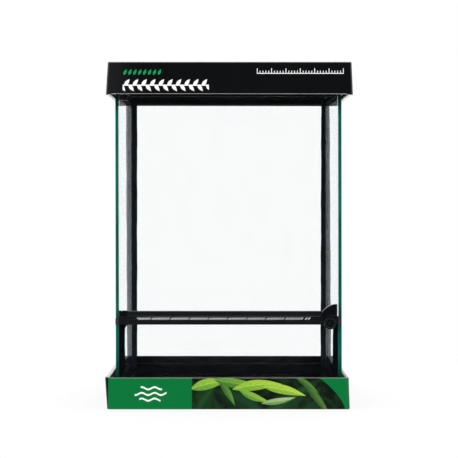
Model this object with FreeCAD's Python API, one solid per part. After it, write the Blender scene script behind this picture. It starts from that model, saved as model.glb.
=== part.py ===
import FreeCAD, Part
import math
import os

# Front-opening glass terrarium, standing in an open cardboard tray with a matching cap.
# Millimetres. The front faces -Y, +X is to the right and +Z is up. The origin is the
# centre of the tray's underside.

# ---- Glass tank ---------------------------------------------------------------------
TANK_WIDTH = 300.0  # over the outer faces of the side panes
TANK_DEPTH = 300.0  # front edge of the side panes to the outer face of the back pane
TANK_HEIGHT = 454.0  # foot of the bottom frame to the rim of the top frame
GLASS = 4.0  # every pane
GLASS_FIT = 0.05  # room on each face of a pane in its channel

# ---- Cardboard tray and cap ---------------------------------------------------------
BOARD = 3.0  # folded double board
BOARD_SLACK = 1.0  # between the board and the plastic frames
TRAY_HEIGHT = 41.5
CAP_HEIGHT = 42.6
FOLD_RADIUS = 2.0  # outside of each fold

# ---- Both plastic frames ------------------------------------------------------------
FRAME_STAND_OUT = 6.0  # outer face of a frame beyond the glass
FRAME_WALL = 3.0
FRAME_CORNER_RADIUS = 2.5

# ---- Bottom frame -------------------------------------------------------------------
BOTTOM_FRAME_HEIGHT = 28.0
FLOOR_LIFT = 14.0  # underside of the bottom pane over the foot
LEDGE_WIDTH = 12.0  # under the edge of the glass
LEDGE_THICKNESS = 2.5
FOOT_LENGTH = 45.0  # of each corner foot along a side
FOOT_HEIGHT = 4.0

# ---- Top frame ----------------------------------------------------------------------
TOP_FRAME_HEIGHT = 36.5
LEG_THICKNESS = 2.5  # inner leg that grips the glass
LEG_REACH = 16.0  # of that leg below the top of the glass
SEAT_THICKNESS = 4.0  # ledge that carries the screen cover
RIM_WALL = 3.5  # around the screen cover
SCREEN_FIT = 0.5  # between the screen cover and the rim
STOP_DROP = 6.0  # rib behind the top edge of the door
STOP_GAP = 0.5  # between that rib and the door

# ---- Cable inlets behind the screen cover -------------------------------------------
CHANNEL_WIDTH = 14.2  # of the channel that the shutters run in
CHANNEL_WEB = 2.2
DECK_THICKNESS = 3.0
CROSSBAR_LEDGE = 5.0  # carries the back edge of the screen cover
LIP = 2.1  # thickness and reach of the lips under the shutters
INLET_LENGTH = 36.0
INLET_WIDTH = 10.0
INLET_FROM_SIDE = 24.0  # outer face of a side pane to the outer end of an inlet
SHUTTER_THICKNESS = 2.2
SHUTTER_FIT = 0.2
SHUTTER_OVERLAP = 2.0  # beyond each end of its inlet
TAB_THICKNESS = 3.0
TAB_INSET = 0.5  # of the thumb tab from the end of the inlet
TAB_BELOW_RIM = 0.4

# ---- Screen cover -------------------------------------------------------------------
SCREEN_HEIGHT = 9.0
SCREEN_BORDER = 14.0  # width of its frame
MESH_LEDGE = 7.0  # under the edge of the mesh
MESH_LIFT = 2.6  # underside of the mesh over the seat
MESH_THICKNESS = 0.8
MESH_FIT = 0.2
SPLINE_WIDTH = 3.4
SPLINE_HEIGHT = 3.0

# ---- Silicone seals -----------------------------------------------------------------
REAR_SEAL_WIDTH = 7.0  # along the back pane
FRONT_SEAL_WIDTH = 7.5  # along the lower front pane
SEAL_DEPTH = 6.0  # along the side panes
FLOOR_SEAL = 5.0
SEAL_HOLLOW = 0.36  # how far the tooled face stands from the corner, as a share
GUSSET = 4.5  # flare of the front seals under the ventilation bar
GUSSET_THICKNESS = 2.0

# ---- Ventilation bar ----------------------------------------------------------------
BAR_LIFT = 108.7  # underside of the bar over the foot of the tank
BAR_HEIGHT = 10.9
BAR_STAND_OUT = 4.5  # in front of the glass, the same for the door's rail
BAR_BACK_LEG = 2.9
BAR_WEB = 1.6
BAR_GRIP = 4.0  # overlap with the lower front pane
BAR_END_CHAMFER = 3.0
BAR_HINGE_BLOCK = 10.0  # solid length at the hinge end, inside the side pane
BAR_LOCK_BLOCK = 22.0  # solid length at the lock end, inside the side pane
STRIP_DEPTH = 0.6  # sunk strip that holds the slots
STRIP_MARGIN = 0.65  # bar over the strip
STRIP_HEIGHT = 4.8
STRIP_START = 19.0  # from the hinge end of the bar
STRIP_END = 29.0  # from the lock end of the bar
SLOT_ROW_START = 24.9  # first slot from the hinge end of the bar
SLOT_ROW_END = 42.0  # last slot no nearer to the lock end than this
SLOT_WIDTH = 1.5
SLOT_HEIGHT = 3.0
SLOT_LEAN_DEG = 45.0
SLOT_PITCH = 3.89
SLOTS_IN_GROUP = 6
GROUP_PITCH = 25.36

# ---- Door ---------------------------------------------------------------------------
DOOR_HINGE_GAP = 0.6  # to the left side pane
DOOR_LATCH_GAP = 0.8  # to the right side pane
DOOR_TOP_GAP = 0.8  # under the cap and the top frame
DOOR_SEAM = 0.3  # between the ventilation bar and the rail
RAIL_HEIGHT = 6.6
RAIL_FLOOR = 2.1  # under the pane
RAIL_BACK = 1.95  # behind the pane
RAIL_END_GAP = 2.0  # from the latch end of the rail to the side pane
HINGE_INSET = 4.0  # hinge axis from the left side pane
HINGE_FORWARD = 1.5  # hinge axis in front of the door's glass
KNUCKLE_RADIUS = 3.5
LEAF_LENGTH = 8.0  # hinge axis to the end of a hinge leaf
LOWER_LEAF_HEIGHT = 7.1
UPPER_LEAF_HEIGHT = 7.2
LEAF_CAP = 1.2  # of the upper leaf over the edge of the pane
PIN_RADIUS = 1.5
PIN_GRIP_FIT = 0.02  # radial, where a pin or screw is held fast
PIN_RUN_FIT = 0.06  # radial, where something turns on it
LOWER_PIN_REACH = 4.2  # into the door
LOWER_PIN_ROOT = 6.0  # into the bar
UPPER_PIN_REACH = 5.2
UPPER_PIN_ROOT = 9.5
HOLE_END_GAP = 0.5  # beyond the end of a pin
BOSS_WALL = 3.0  # around the upper pin in the top frame

# ---- Door handle --------------------------------------------------------------------
HANDLE_RADIUS = 24.0
HANDLE_DROP = 7.9  # centre of the handle's arc below the rail
HANDLE_SKIN = 1.2
HANDLE_RIM = 2.0
HANDLE_RIM_HEIGHT = 1.7
RIDGE_LENGTH = 14.0
RIDGE_HEIGHT = 1.6
RIDGE_STAND_OUT = 1.0
POCKET_ROOM = 0.4  # around the sweep of the lock's finger

# ---- Door lock ----------------------------------------------------------------------
LOCK_FROM_END = 15.4  # lock axis from the latch end of the bar
LOCK_RAISE = 2.0  # lock axis over the underside of the bar
KNOB_RADIUS = 8.0
KNOB_THICKNESS = 3.1
KNOB_RECESS_RADIUS = 5.8
KNOB_RECESS = 1.8
FINGER_REACH = 13.0
FINGER_WIDTH = 5.0
FINGER_THICKNESS = 2.1
FINGER_GAP = 0.3  # behind the finger
FINGER_FRONT_GAP = 0.2  # between the finger and the handle's skin
HUB_RADIUS = 5.0
SCREW_HEAD_RADIUS = 3.0
SCREW_HEAD_HEIGHT = 1.5
SCREW_HEAD_GAP = 0.1
SCREW_ROOT = 4.1  # into the bar
SCREW_SLOT_WIDTH = 0.8
SCREW_SLOT_DEPTH = 0.7

# ---- Worked out from the sizes above ------------------------------------------------
side_x = TANK_WIDTH / 2
inner_x = side_x - GLASS
back_y = TANK_DEPTH / 2
front_y = -back_y
inner_back_y = back_y - GLASS
inner_front_y = front_y + GLASS
frame_x = side_x + FRAME_STAND_OUT
frame_y = back_y + FRAME_STAND_OUT
card_x = frame_x + BOARD_SLACK + BOARD
card_y = frame_y + BOARD_SLACK + BOARD

foot_z = BOARD
pane_z = foot_z + FLOOR_LIFT
floor_z = pane_z + GLASS
rim_z = foot_z + TANK_HEIGHT
top_frame_z = rim_z - TOP_FRAME_HEIGHT
seat_z = rim_z - SCREEN_HEIGHT
glass_top_z = seat_z - SEAT_THICKNESS
cap_edge_z = rim_z + BOARD - CAP_HEIGHT

bar_z = foot_z + BAR_LIFT
bar_top_z = bar_z + BAR_HEIGHT
bar_front_y = front_y - BAR_STAND_OUT
lower_pane_top_z = bar_z + BAR_GRIP

rail_z = bar_top_z + DOOR_SEAM
rail_top_z = rail_z + RAIL_HEIGHT
door_z = rail_z + RAIL_FLOOR
door_top_z = min(cap_edge_z, top_frame_z) - DOOR_TOP_GAP
door_pane_top_z = door_top_z - LEAF_CAP
door_left_x = -inner_x + DOOR_HINGE_GAP
door_right_x = inner_x - DOOR_LATCH_GAP
rail_right_x = inner_x - RAIL_END_GAP
hinge_x = -inner_x + HINGE_INSET
hinge_y = front_y - HINGE_FORWARD
leaf_right_x = hinge_x + LEAF_LENGTH

leg_x = inner_x - GLASS_FIT - LEG_THICKNESS
leg_y = inner_back_y - GLASS_FIT - LEG_THICKNESS
rebate_x = frame_x - RIM_WALL
rebate_front_y = -frame_y + RIM_WALL
web_back_y = leg_y - CHANNEL_WIDTH
web_front_y = web_back_y - CHANNEL_WEB
deck_z = rim_z - DECK_THICKNESS
shutter_z = deck_z - SHUTTER_FIT - SHUTTER_THICKNESS
inlet_y = (web_back_y + leg_y) / 2
inlet_far_x = side_x - INLET_FROM_SIDE
inlet_near_x = inlet_far_x - INLET_LENGTH

lock_x = side_x - LOCK_FROM_END
lock_z = bar_z + LOCK_RAISE
finger_back_y = bar_front_y - FINGER_GAP
finger_front_y = finger_back_y - FINGER_THICKNESS
knob_front_y = finger_front_y - KNOB_THICKNESS
recess_y = knob_front_y + KNOB_RECESS
handle_skin_y = finger_front_y - FINGER_FRONT_GAP
handle_face_y = handle_skin_y - HANDLE_SKIN

UP = FreeCAD.Vector(0, 0, 1)
BACKWARDS = FreeCAD.Vector(0, 1, 0)


# ---- Shapes -------------------------------------------------------------------------
def box(x0, x1, y0, y1, z0, z1):
    """A block between two corners."""
    corner = FreeCAD.Vector(x0, y0, z0)
    return Part.makeBox(x1 - x0, y1 - y0, z1 - z0, corner)


def wide_box(half_x, half_y, z0, z1):
    """A block centred on the origin in X and Y."""
    return box(-half_x, half_x, -half_y, half_y, z0, z1)


def post(radius, x, y, z0, z1):
    """An upright cylinder."""
    return Part.makeCylinder(radius, z1 - z0, FreeCAD.Vector(x, y, z0), UP)


def plug(radius, x, z, y0, y1):
    """A cylinder that points from front to back."""
    return Part.makeCylinder(radius, y1 - y0, FreeCAD.Vector(x, y0, z), BACKWARDS)


def prism(points, y0, y1):
    """An outline of (x, z) points, run from y0 to y1."""
    ring = [FreeCAD.Vector(x, y0, z) for x, z in points]
    face = Part.Face(Part.makePolygon(ring + ring[:1]))
    return face.extrude(FreeCAD.Vector(0, y1 - y0, 0))


def rounded(solid, radius, direction):
    """The solid with its straight outer edges along a direction rounded."""
    bounds = solid.BoundBox
    chosen = []
    for edge in solid.Edges:
        if not isinstance(edge.Curve, Part.Line):
            continue
        middle = edge.CenterOfMass
        along = abs(edge.tangentAt(edge.FirstParameter).dot(direction)) > 0.999
        at_side = min(abs(middle.x - bounds.XMin), abs(middle.x - bounds.XMax)) < 0.001
        at_end = min(abs(middle.y - bounds.YMin), abs(middle.y - bounds.YMax)) < 0.001
        if along and at_side and at_end:
            chosen.append(edge)
    return solid.makeFillet(radius, chosen) if chosen else solid


def group(solids):
    """Separate solids that share one node."""
    return Part.makeCompound(solids)


# ---- Cardboard ----------------------------------------------------------------------
def folded_box(wall_z0, wall_z1, panel_z):
    """Four walls around the frames and a panel that closes one end."""
    outer = rounded(wide_box(card_x, card_y, wall_z0, wall_z1), FOLD_RADIUS, UP)
    inner_low = max(wall_z0, panel_z + BOARD) if panel_z == wall_z0 else wall_z0
    inner_high = wall_z1 if panel_z == wall_z0 else panel_z
    return outer.cut(wide_box(card_x - BOARD, card_y - BOARD, inner_low, inner_high))


def bottom_tray():
    return folded_box(0, TRAY_HEIGHT, 0)


def top_cap():
    return folded_box(cap_edge_z, rim_z + BOARD, rim_z)


# ---- Panes and seals ----------------------------------------------------------------
def bottom_pane():
    return wide_box(inner_x, inner_back_y, pane_z, floor_z)


def back_pane():
    return box(-inner_x, inner_x, inner_back_y, back_y, pane_z, glass_top_z)


def side_pane(side):
    edges = sorted((side * inner_x, side * side_x))
    return box(edges[0], edges[1], front_y, back_y, pane_z, glass_top_z)


def front_lower_pane():
    return box(-inner_x, inner_x, front_y, inner_front_y, pane_z, lower_pane_top_z)


def bead(side, corner_y, into, width, z0, z1):
    """An upright seal in an inside corner, with a hollow tooled face."""
    corner = FreeCAD.Vector(side * inner_x, corner_y, z0)
    along_x = FreeCAD.Vector(-side * width, 0, 0)
    along_y = FreeCAD.Vector(0, into * SEAL_DEPTH, 0)
    hollow = corner + (along_x + along_y) * SEAL_HOLLOW
    face_edge = Part.Arc(corner + along_y, hollow, corner + along_x).toShape()
    edges = [
        Part.makeLine(corner, corner + along_y),
        face_edge,
        Part.makeLine(corner + along_x, corner),
    ]
    section = Part.Face(Part.Wire(edges))
    return section.extrude(FreeCAD.Vector(0, 0, z1 - z0))


def floor_seal():
    """A ring of seal around the floor, with a sloping face."""
    outer = wide_box(inner_x, inner_back_y, floor_z, floor_z + FLOOR_SEAL)
    loops = []
    for inset, z in ((FLOOR_SEAL, floor_z), (0, floor_z + FLOOR_SEAL)):
        half_x = inner_x - inset
        half_y = inner_back_y - inset
        corners = [(-half_x, -half_y), (half_x, -half_y), (half_x, half_y), (-half_x, half_y)]
        points = [FreeCAD.Vector(x, y, z) for x, y in corners]
        loops.append(Part.makePolygon(points + points[:1]))
    return outer.cut(Part.makeLoft(loops, True))


def rear_corner_seals():
    leg_z = glass_top_z - LEG_REACH
    seals = [bead(s, inner_back_y, -1, REAR_SEAL_WIDTH, floor_z, leg_z) for s in (-1, 1)]
    ring = floor_seal()
    return group([seal.cut(ring).Solids[0] for seal in seals])


def front_corner_seals():
    """The seals beside the lower front pane, flared under the ventilation bar."""
    ring = floor_seal()
    seals = []
    for side in (-1, 1):
        seal = bead(side, inner_front_y, 1, FRONT_SEAL_WIDTH, floor_z, bar_z)
        edge_x = side * (inner_x - FRONT_SEAL_WIDTH + GUSSET_THICKNESS)
        flare_x = side * (inner_x - FRONT_SEAL_WIDTH - GUSSET)
        outline = [(edge_x, bar_z), (flare_x, bar_z), (edge_x, bar_z - GUSSET - GUSSET_THICKNESS)]
        flare = prism(outline, inner_front_y, inner_front_y + GUSSET_THICKNESS)
        seals.append(seal.fuse(flare).cut(ring).removeSplitter().Solids[0])
    return group(seals)


# ---- Plastic frames -----------------------------------------------------------------
def glass_channel(z0, z1):
    """Room for the two side panes and the back pane."""
    slot_in_x = inner_x - GLASS_FIT
    slot_in_y = inner_back_y - GLASS_FIT
    slot_out_x = side_x + GLASS_FIT
    slot_out_y = back_y + GLASS_FIT
    left = box(-slot_out_x, -slot_in_x, front_y - GLASS_FIT, slot_out_y, z0, z1)
    right = box(slot_in_x, slot_out_x, front_y - GLASS_FIT, slot_out_y, z0, z1)
    back = box(-slot_out_x, slot_out_x, slot_in_y, slot_out_y, z0, z1)
    return left.fuse([right, back])


def bottom_frame():
    """A raised frame: a ledge under the glass, a skirt around it and four corner feet."""
    top_z = foot_z + BOTTOM_FRAME_HEIGHT
    shell_x = frame_x - FRAME_WALL
    shell_y = frame_y - FRAME_WALL
    frame = rounded(wide_box(frame_x, frame_y, foot_z, top_z), FRAME_CORNER_RADIUS, UP)
    frame = frame.cut([
        wide_box(side_x + GLASS_FIT, back_y + GLASS_FIT, pane_z, top_z),
        wide_box(shell_x, shell_y, pane_z, top_z - LEDGE_THICKNESS),
        wide_box(side_x - LEDGE_WIDTH, back_y - LEDGE_WIDTH, foot_z, pane_z),
        wide_box(shell_x, shell_y, foot_z, pane_z - LEDGE_THICKNESS),
        wide_box(frame_x - FOOT_LENGTH, frame_y, foot_z, foot_z + FOOT_HEIGHT),
        wide_box(frame_x, frame_y - FOOT_LENGTH, foot_z, foot_z + FOOT_HEIGHT),
    ])
    return frame.removeSplitter()


def inlet(side):
    """The opening for cables in the deck behind the screen cover."""
    ends = sorted((side * inlet_near_x, side * inlet_far_x))
    half = INLET_WIDTH / 2
    return box(ends[0], ends[1], inlet_y - half, inlet_y + half, deck_z, rim_z)


def top_frame():
    """Grips the glass on three sides, bridges the door, and carries the screen cover."""
    shell_y = frame_y - FRAME_WALL
    shell_x = frame_x - FRAME_WALL
    flange_z = top_frame_z + FRAME_WALL
    leg_z = glass_top_z - LEG_REACH
    slot_in_x = inner_x - GLASS_FIT
    slot_in_y = inner_back_y - GLASS_FIT
    slot_top_z = glass_top_z + GLASS_FIT
    frame = rounded(wide_box(frame_x, frame_y, top_frame_z, rim_z), FRAME_CORNER_RADIUS, UP)
    frame = frame.cut([
        wide_box(leg_x, leg_y, top_frame_z, glass_top_z),
        box(-leg_x, leg_x, -leg_y, web_front_y - CROSSBAR_LEDGE, glass_top_z, seat_z),
        box(-rebate_x, rebate_x, rebate_front_y, web_front_y, seat_z, rim_z),
        box(-leg_x, leg_x, web_back_y, leg_y, glass_top_z, deck_z),
        glass_channel(top_frame_z, slot_top_z),
        box(-slot_in_x, slot_in_x, -leg_y, slot_in_y, top_frame_z, leg_z),
        box(-slot_in_x, slot_in_x, -shell_y, -leg_y, flange_z, glass_top_z),
        box(-shell_x, -side_x, front_y, shell_y, flange_z, glass_top_z - FRAME_WALL),
        box(side_x, shell_x, front_y, shell_y, flange_z, glass_top_z - FRAME_WALL),
        box(-shell_x, shell_x, back_y, shell_y, flange_z, glass_top_z - FRAME_WALL),
        inlet(-1),
        inlet(1),
    ])
    pin_top_z = top_frame_z + UPPER_PIN_ROOT + HOLE_END_GAP
    reach = PIN_RADIUS + BOSS_WALL
    boss = box(
        max(hinge_x - reach, -slot_in_x), hinge_x + reach, -shell_y, hinge_y + reach,
        flange_z, pin_top_z + BOSS_WALL,
    )
    leaf_sweep = math.hypot(LEAF_LENGTH, inner_front_y + RAIL_BACK - hinge_y)
    stop = box(
        hinge_x + leaf_sweep + STOP_GAP, leg_x, inner_front_y + STOP_GAP, -leg_y,
        top_frame_z - STOP_DROP, flange_z,
    )
    lip_z = shutter_z - SHUTTER_FIT - LIP
    lips = [
        box(-leg_x, leg_x, web_back_y, web_back_y + LIP, lip_z, lip_z + LIP),
        box(-leg_x, leg_x, leg_y - LIP, leg_y, lip_z, lip_z + LIP),
    ]
    frame = frame.fuse([boss, stop] + lips)
    hole = post(PIN_RADIUS + PIN_GRIP_FIT, hinge_x, hinge_y, top_frame_z, pin_top_z)
    return frame.cut(hole).removeSplitter()


def cable_shutter(side):
    """A plate that slides along X under the deck, with a thumb tab in the inlet."""
    near = inlet_near_x - SHUTTER_OVERLAP
    far = inlet_far_x + SHUTTER_OVERLAP
    ends = sorted((side * near, side * far))
    plate = box(
        ends[0], ends[1], web_back_y + SHUTTER_FIT, leg_y - SHUTTER_FIT,
        shutter_z, shutter_z + SHUTTER_THICKNESS,
    )
    tab_far = inlet_far_x - TAB_INSET
    tab_ends = sorted((side * (tab_far - TAB_THICKNESS), side * tab_far))
    half = INLET_WIDTH / 2 - SHUTTER_FIT
    tab = box(
        tab_ends[0], tab_ends[1], inlet_y - half, inlet_y + half,
        shutter_z, rim_z - TAB_BELOW_RIM,
    )
    return plate.fuse(tab).removeSplitter()


# ---- Screen cover -------------------------------------------------------------------
def screen_room(inset, z0, z1):
    """A block as wide as the screen cover, less an inset on each side."""
    margin = SCREEN_FIT + inset
    return box(
        -rebate_x + margin, rebate_x - margin,
        rebate_front_y + margin, web_front_y - margin, z0, z1,
    )


def screen_frame():
    mesh_z = seat_z + MESH_LIFT
    frame = rounded(screen_room(0, seat_z, rim_z), FRAME_CORNER_RADIUS, UP)
    return frame.cut([
        screen_room(SCREEN_BORDER, seat_z, rim_z),
        screen_room(SCREEN_BORDER - MESH_LEDGE, mesh_z, rim_z),
    ])


def screen_mesh():
    mesh_z = seat_z + MESH_LIFT
    return screen_room(SCREEN_BORDER - MESH_LEDGE + MESH_FIT, mesh_z, mesh_z + MESH_THICKNESS)


def mesh_spline():
    """A rubber cord in a ring that holds the edge of the mesh down."""
    z0 = seat_z + MESH_LIFT + MESH_THICKNESS
    z1 = z0 + SPLINE_HEIGHT
    inset = SCREEN_BORDER - MESH_LEDGE + MESH_FIT
    return screen_room(inset, z0, z1).cut(screen_room(inset + SPLINE_WIDTH, z0, z1))


# ---- Ventilation bar ----------------------------------------------------------------
def slot(centre_x):
    """One leaning slot through the front of the bar, its top towards +X."""
    z1 = bar_top_z - STRIP_MARGIN - (STRIP_HEIGHT - SLOT_HEIGHT) / 2
    z0 = z1 - SLOT_HEIGHT
    lean = SLOT_HEIGHT * math.tan(math.radians(SLOT_LEAN_DEG)) / 2
    half = SLOT_WIDTH / 2
    outline = [
        (centre_x - lean - half, z0),
        (centre_x - lean + half, z0),
        (centre_x + lean + half, z1),
        (centre_x + lean - half, z1),
    ]
    return prism(outline, bar_front_y, front_y + GLASS)


def slots():
    """Groups of slots along the bar, as many as fit before the lock."""
    last_x = side_x - SLOT_ROW_END
    found = []
    group_x = -side_x + SLOT_ROW_START
    while group_x <= last_x:
        places = [group_x + i * SLOT_PITCH for i in range(SLOTS_IN_GROUP)]
        found += [slot(x) for x in places if x <= last_x]
        group_x += GROUP_PITCH
    return found


def vent_bar():
    """The fixed bar between the lower front pane and the door."""
    between_x = inner_x - GLASS_FIT
    back_leg_y = inner_front_y + GLASS_FIT
    bar_back_y = back_leg_y + BAR_BACK_LEG
    web_top_z = lower_pane_top_z + BAR_WEB
    face = prism(
        [
            (-side_x, bar_z),
            (side_x, bar_z),
            (side_x, bar_top_z - BAR_END_CHAMFER),
            (side_x - BAR_END_CHAMFER, bar_top_z),
            (-side_x + BAR_END_CHAMFER, bar_top_z),
            (-side_x, bar_top_z - BAR_END_CHAMFER),
        ],
        bar_front_y,
        front_y,
    )
    hinge_block_x = -between_x + BAR_HINGE_BLOCK
    lock_block_x = between_x - BAR_LOCK_BLOCK
    pane_top_z = lower_pane_top_z + GLASS_FIT
    bar = face.fuse([
        box(-between_x, between_x, front_y, bar_back_y, pane_top_z, web_top_z),
        box(-between_x, between_x, back_leg_y, bar_back_y, bar_z, web_top_z),
        box(-between_x, hinge_block_x, front_y, bar_back_y, pane_top_z, bar_top_z),
        box(lock_block_x, between_x, front_y, bar_back_y, pane_top_z, bar_top_z),
        plug(KNOB_RADIUS, lock_x, lock_z, bar_front_y, front_y),
    ])
    strip_z = bar_top_z - STRIP_MARGIN
    strip = box(
        -side_x + STRIP_START, side_x - STRIP_END, bar_front_y, bar_front_y + STRIP_DEPTH,
        strip_z - STRIP_HEIGHT, strip_z,
    )
    pin_hole = post(
        PIN_RADIUS + PIN_GRIP_FIT, hinge_x, hinge_y, bar_top_z - LOWER_PIN_ROOT, bar_top_z
    )
    screw_hole = plug(
        PIN_RADIUS + PIN_GRIP_FIT, lock_x, lock_z, bar_front_y, bar_front_y + SCREW_ROOT
    )
    return bar.cut([strip, pin_hole, screw_hole] + slots()).removeSplitter()


def lower_hinge_pin():
    return post(
        PIN_RADIUS, hinge_x, hinge_y, bar_top_z - LOWER_PIN_ROOT, rail_z + LOWER_PIN_REACH
    )


def upper_hinge_pin():
    return post(
        PIN_RADIUS, hinge_x, hinge_y, door_top_z - UPPER_PIN_REACH, top_frame_z + UPPER_PIN_ROOT
    )


# ---- Door ---------------------------------------------------------------------------
def door_pane():
    return box(door_left_x, door_right_x, front_y, inner_front_y, door_z, door_pane_top_z)


def pane_groove():
    """Room for the door's pane in what is clipped onto it."""
    return box(
        door_left_x, door_right_x + GLASS_FIT,
        front_y - GLASS_FIT, inner_front_y + GLASS_FIT, door_z, door_pane_top_z,
    )


def door_rail():
    back = inner_front_y + RAIL_BACK
    rail = box(leaf_right_x, rail_right_x, bar_front_y, back, rail_z, rail_top_z)
    return rail.cut(pane_groove())


def hinge_leaf(z0, z1, hole_z0, hole_z1):
    """A clip on the corner of the door's pane, rolled around the hinge axis."""
    back = inner_front_y + RAIL_BACK
    leaf = box(door_left_x, leaf_right_x, hinge_y, back, z0, z1)
    leaf = leaf.fuse([
        box(hinge_x, leaf_right_x, bar_front_y, hinge_y, z0, z1),
        post(KNUCKLE_RADIUS, hinge_x, hinge_y, z0, z1),
    ])
    hole = post(PIN_RADIUS + PIN_RUN_FIT, hinge_x, hinge_y, hole_z0, hole_z1)
    return leaf.cut([pane_groove(), hole]).removeSplitter()


def lower_hinge_leaf():
    hole_top = rail_z + LOWER_PIN_REACH + HOLE_END_GAP
    return hinge_leaf(rail_z, rail_z + LOWER_LEAF_HEIGHT, rail_z, hole_top)


def upper_hinge_leaf():
    hole_foot = door_top_z - UPPER_PIN_REACH - HOLE_END_GAP
    return hinge_leaf(door_top_z - UPPER_LEAF_HEIGHT, door_top_z, hole_foot, door_top_z)


def handle_sector(radius, y0, y1, z0):
    """The part of a disc that lies left of the rail's end and over a level."""
    disc = plug(radius, rail_right_x, rail_z - HANDLE_DROP, y0, y1)
    quarter = box(rail_right_x - radius, rail_right_x, y0, y1, z0, z0 + radius)
    return disc.common(quarter)


def door_handle():
    """A finger pull at the latch end, with a pocket under it for the lock's finger."""
    pad = handle_sector(HANDLE_RADIUS, bar_front_y, front_y, rail_top_z)
    plate = handle_sector(HANDLE_RADIUS, handle_face_y, bar_front_y, rail_z)
    rim_y = handle_face_y - HANDLE_RIM_HEIGHT
    rim = handle_sector(HANDLE_RADIUS, rim_y, handle_face_y, rail_z).cut(
        handle_sector(HANDLE_RADIUS - HANDLE_RIM, rim_y, handle_face_y, rail_z)
    )
    ridge = box(
        rail_right_x - RIDGE_LENGTH, rail_right_x,
        handle_face_y - RIDGE_STAND_OUT, handle_face_y, rail_z, rail_z + RIDGE_HEIGHT,
    )
    sweep = math.hypot(FINGER_REACH, FINGER_WIDTH / 2) + POCKET_ROOM
    pocket = plug(sweep, lock_x, lock_z, handle_skin_y, bar_front_y).common(
        box(
            lock_x - sweep, lock_x + FINGER_WIDTH / 2 + POCKET_ROOM,
            handle_skin_y, bar_front_y, rail_z, lock_z + sweep,
        )
    )
    return pad.fuse([plate, rim, ridge]).cut(pocket).removeSplitter()


# ---- Lock ---------------------------------------------------------------------------
def lock_knob():
    """A turn knob; its finger points left when free and up in front of the rail when locked."""
    disc = plug(KNOB_RADIUS, lock_x, lock_z, knob_front_y, finger_front_y)
    recess = plug(KNOB_RECESS_RADIUS, lock_x, lock_z, knob_front_y, recess_y)
    hub = plug(HUB_RADIUS, lock_x, lock_z, finger_front_y, finger_back_y)
    half = FINGER_WIDTH / 2
    straight = FINGER_REACH - half
    finger = box(
        lock_x - straight, lock_x, finger_front_y, finger_back_y, lock_z - half, lock_z + half
    )
    tip = plug(half, lock_x - straight, lock_z, finger_front_y, finger_back_y)
    bore = plug(PIN_RADIUS + PIN_RUN_FIT, lock_x, lock_z, knob_front_y, finger_back_y)
    return disc.cut(recess).fuse([hub, finger, tip]).cut(bore).removeSplitter()


def lock_screw():
    """The shoulder screw that the knob turns on."""
    head_back_y = recess_y - SCREW_HEAD_GAP
    head_front_y = head_back_y - SCREW_HEAD_HEIGHT
    shank = plug(PIN_RADIUS, lock_x, lock_z, head_back_y, bar_front_y + SCREW_ROOT)
    head = plug(SCREW_HEAD_RADIUS, lock_x, lock_z, head_front_y, head_back_y)
    half = SCREW_SLOT_WIDTH / 2
    driver_slot = box(
        lock_x - SCREW_HEAD_RADIUS, lock_x + SCREW_HEAD_RADIUS,
        head_front_y, head_front_y + SCREW_SLOT_DEPTH, lock_z - half, lock_z + half,
    )
    return shank.fuse(head).cut(driver_slot).removeSplitter()


# ---- Every node of the model --------------------------------------------------------
def model():
    """Node name to shape."""
    return {
        "bottom_tray": bottom_tray(),
        "bottom_frame": bottom_frame(),
        "bottom_pane": bottom_pane(),
        "back_pane": back_pane(),
        "left_pane": side_pane(-1),
        "right_pane": side_pane(1),
        "front_lower_pane": front_lower_pane(),
        "floor_seal": floor_seal(),
        "rear_corner_seals": rear_corner_seals(),
        "front_corner_seals": front_corner_seals(),
        "top_frame": top_frame(),
        "left_cable_shutter": cable_shutter(-1),
        "right_cable_shutter": cable_shutter(1),
        "screen_frame": screen_frame(),
        "screen_mesh": screen_mesh(),
        "mesh_spline": mesh_spline(),
        "vent_bar": vent_bar(),
        "lower_hinge_pin": lower_hinge_pin(),
        "upper_hinge_pin": upper_hinge_pin(),
        "door_pane": door_pane(),
        "door_rail": door_rail(),
        "door_handle": door_handle(),
        "lower_hinge_leaf": lower_hinge_leaf(),
        "upper_hinge_leaf": upper_hinge_leaf(),
        "lock_knob": lock_knob(),
        "lock_screw": lock_screw(),
        "top_cap": top_cap(),
    }


os.makedirs("parts", exist_ok=True)
for node, shape in model().items():
    shape.exportStep(f"parts/{node}.step")
    print(f"{node}: {len(shape.Solids)} solid(s), {shape.Volume / 1000:.2f} cm3, valid {shape.isValid()}")
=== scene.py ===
"""Front-opening glass terrarium in a printed card tray, with a matching card cap.

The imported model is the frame. Every class below is one sub-assembly: it holds its sizes in
millimetres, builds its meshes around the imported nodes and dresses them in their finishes.
"""

import logging
import math
from dataclasses import dataclass, field
from enum import Enum
from functools import cache
from typing import Callable, Iterable, Sequence

import bmesh
import bpy
import numpy as np
from mathutils import Matrix, Vector


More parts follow.
